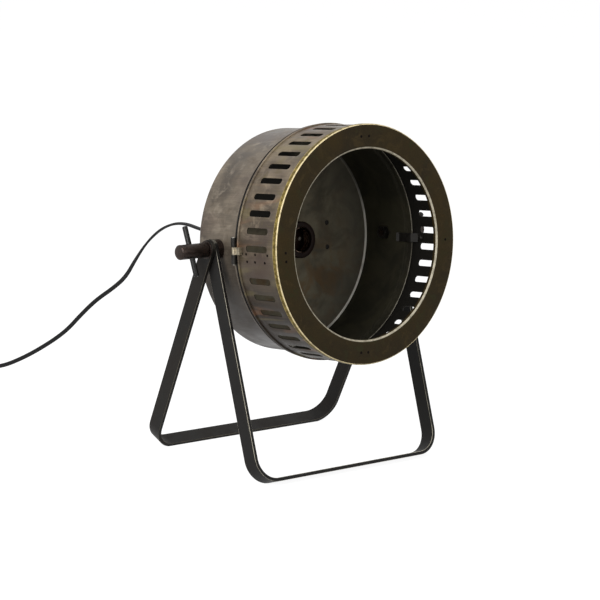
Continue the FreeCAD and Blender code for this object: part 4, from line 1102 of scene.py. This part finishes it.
def dress_fittings(materials):
    """Pieces by node, from (node, finish, width of the eased edge in millimetres)."""
    fittings = [
        ("front_frame", "front_bar", 0.7), ("rear_frame", "rear_bar", 0.7),
        ("left_clamp_screw", "turned", 0.35), ("right_clamp_screw", "turned", 0.35),
        ("left_tommy_bar", "black_bar", 0.2), ("right_tommy_bar", "black_bar", 0.2),
        ("left_clamp_washer", "turned", 0.3), ("right_clamp_washer", "turned", 0.3),
        ("left_fibre_washer", "fibre", 0.2), ("right_fibre_washer", "fibre", 0.2),
        ("left_pivot_boss", "turned", 0.5), ("right_pivot_boss", "turned", 0.5),
        ("left_pivot_nut", "dark_steel", 0.4), ("right_pivot_nut", "dark_steel", 0.4),
        ("hinge_drum_knuckles", "dark_steel", 0.3), ("hinge_door_knuckle", "knuckle", 0.3),
        ("hinge_pin", "zinc", 0.2), ("back_rivets", "dark_steel", 0.2),
        ("catch_spring", "dark_steel", 0.15), ("catch_rivet", "dark_steel", 0.2), ("ring_tabs", "tab", 0.2),
        ("socket_insert", "resin", 0.3), ("centre_contact", "dull_brass", 0.1),
        ("side_contact", "dull_brass", 0.1),
        ("terminal_screws", "zinc", 0.15), ("inner_leads", "copper", 0.0), ("hollow_nipple", "zinc", 0.3),
        ("nipple_nut", "zinc", 0.4), ("cord_grip", "resin", 0.3),
        ("switch_base", "hard_plastic", 0.4), ("switch_cover", "hard_plastic", 0.25),
        ("switch_rocker", "hard_plastic", 0.4), ("switch_contacts", "brass", 0.1),
        ("switch_screws", "zinc", 0.15),
        ("plug_body", "hard_plastic", 0.4), ("plug_pins", "brass", 0.2),
        ("coil_tie", "pvc", 0.1),
    ]
    pieces = {name: dressed(name, materials[finish], ease) for name, finish, ease in fittings}
    pieces["plug_strain_relief"] = make_sleeves(materials["pvc"])
    return pieces


# Room and light

FLOOR_HALF = 12.0
FLOOR_SEEN = 0.92
SURROUND_LIGHT = 0.3
SURROUND_SEEN = 1.0


def make_room():
    """Pale floor that keeps the lamp's shadow, and a surround that looks white but lights softly."""
    half = FLOOR_HALF
    corners = [(-half, -half, 0), (half, -half, 0), (half, half, 0), (-half, half, 0)]
    mesh = mesh_from("floor", corners, [(0, 1, 2, 3)], turn_out=False)
    material, tree = new_material("pale_floor")
    matte = node(tree, "ShaderNodeBsdfDiffuse", Color=linear("#8c8c8c"))
    strength = product(tree, seen_directly(tree), FLOOR_SEEN)
    glow = node(tree, "ShaderNodeEmission", {"Strength": strength})
    both = node(tree, "ShaderNodeAddShader", {0: matte.outputs[0], 1: glow.outputs[0]})
    node(tree, "ShaderNodeOutputMaterial", {0: both.outputs[0]})
    mesh.materials.append(material)
    floor = shown("floor", mesh)

    world = bpy.data.worlds.new("surround")
    bpy.context.scene.world = world
    world.use_nodes = True
    tree = world.node_tree
    tree.nodes.clear()
    strength = value(tree, "MULTIPLY_ADD", seen_directly(tree), SURROUND_SEEN - SURROUND_LIGHT,
                     SURROUND_LIGHT)
    surround = node(tree, "ShaderNodeBackground", {"Strength": strength}, Color=(1, 1, 1, 1))
    node(tree, "ShaderNodeOutputWorld", {0: surround.outputs[0]})


def seen_directly(tree):
    """One for what the camera, a reflection or glass sees, zero for light on the object."""
    rays = node(tree, "ShaderNodeLightPath").outputs
    first = value(tree, "MAXIMUM", rays["Is Camera Ray"], rays["Is Glossy Ray"])
    return value(tree, "MAXIMUM", first, rays["Is Transmission Ray"])


def area_light(name, place, target, size, watts):
    data = bpy.data.lights.new(name, "AREA")
    data.shape = "RECTANGLE"
    data.size, data.size_y = size
    data.energy = watts
    light = shown(name, data)
    place, target = Vector(place), Vector(target)
    light.matrix_world = (Matrix.Translation(place)
                          @ (target - place).to_track_quat("-Z", "Y").to_matrix().to_4x4())


def make_lights():
    middle = (0, 0, 0.24)
    area_light("left_softbox", (-1.9, -0.5, 1.1), middle, (1.2, 1.2), 42)
    area_light("overhead", (-0.2, -0.2, 2.4), middle, (1.6, 1.6), 15)
    area_light("front_fill", (0.4, -2.2, 0.9), middle, (1.4, 1.0), 12)


make_camera()
materials = make_materials()
turning = turning_tree()
make_drum(materials["drum"])
make_band(materials["band"], turning)
make_ring(materials["ring"])
make_holder(materials["resin"])
make_thread(materials["thread"])
make_welds(materials["weld"], weld_tree())
make_cords(materials, dress_fittings(materials))
make_room()
make_lights()

scene = bpy.context.scene
scene.view_settings.view_transform = "Standard"
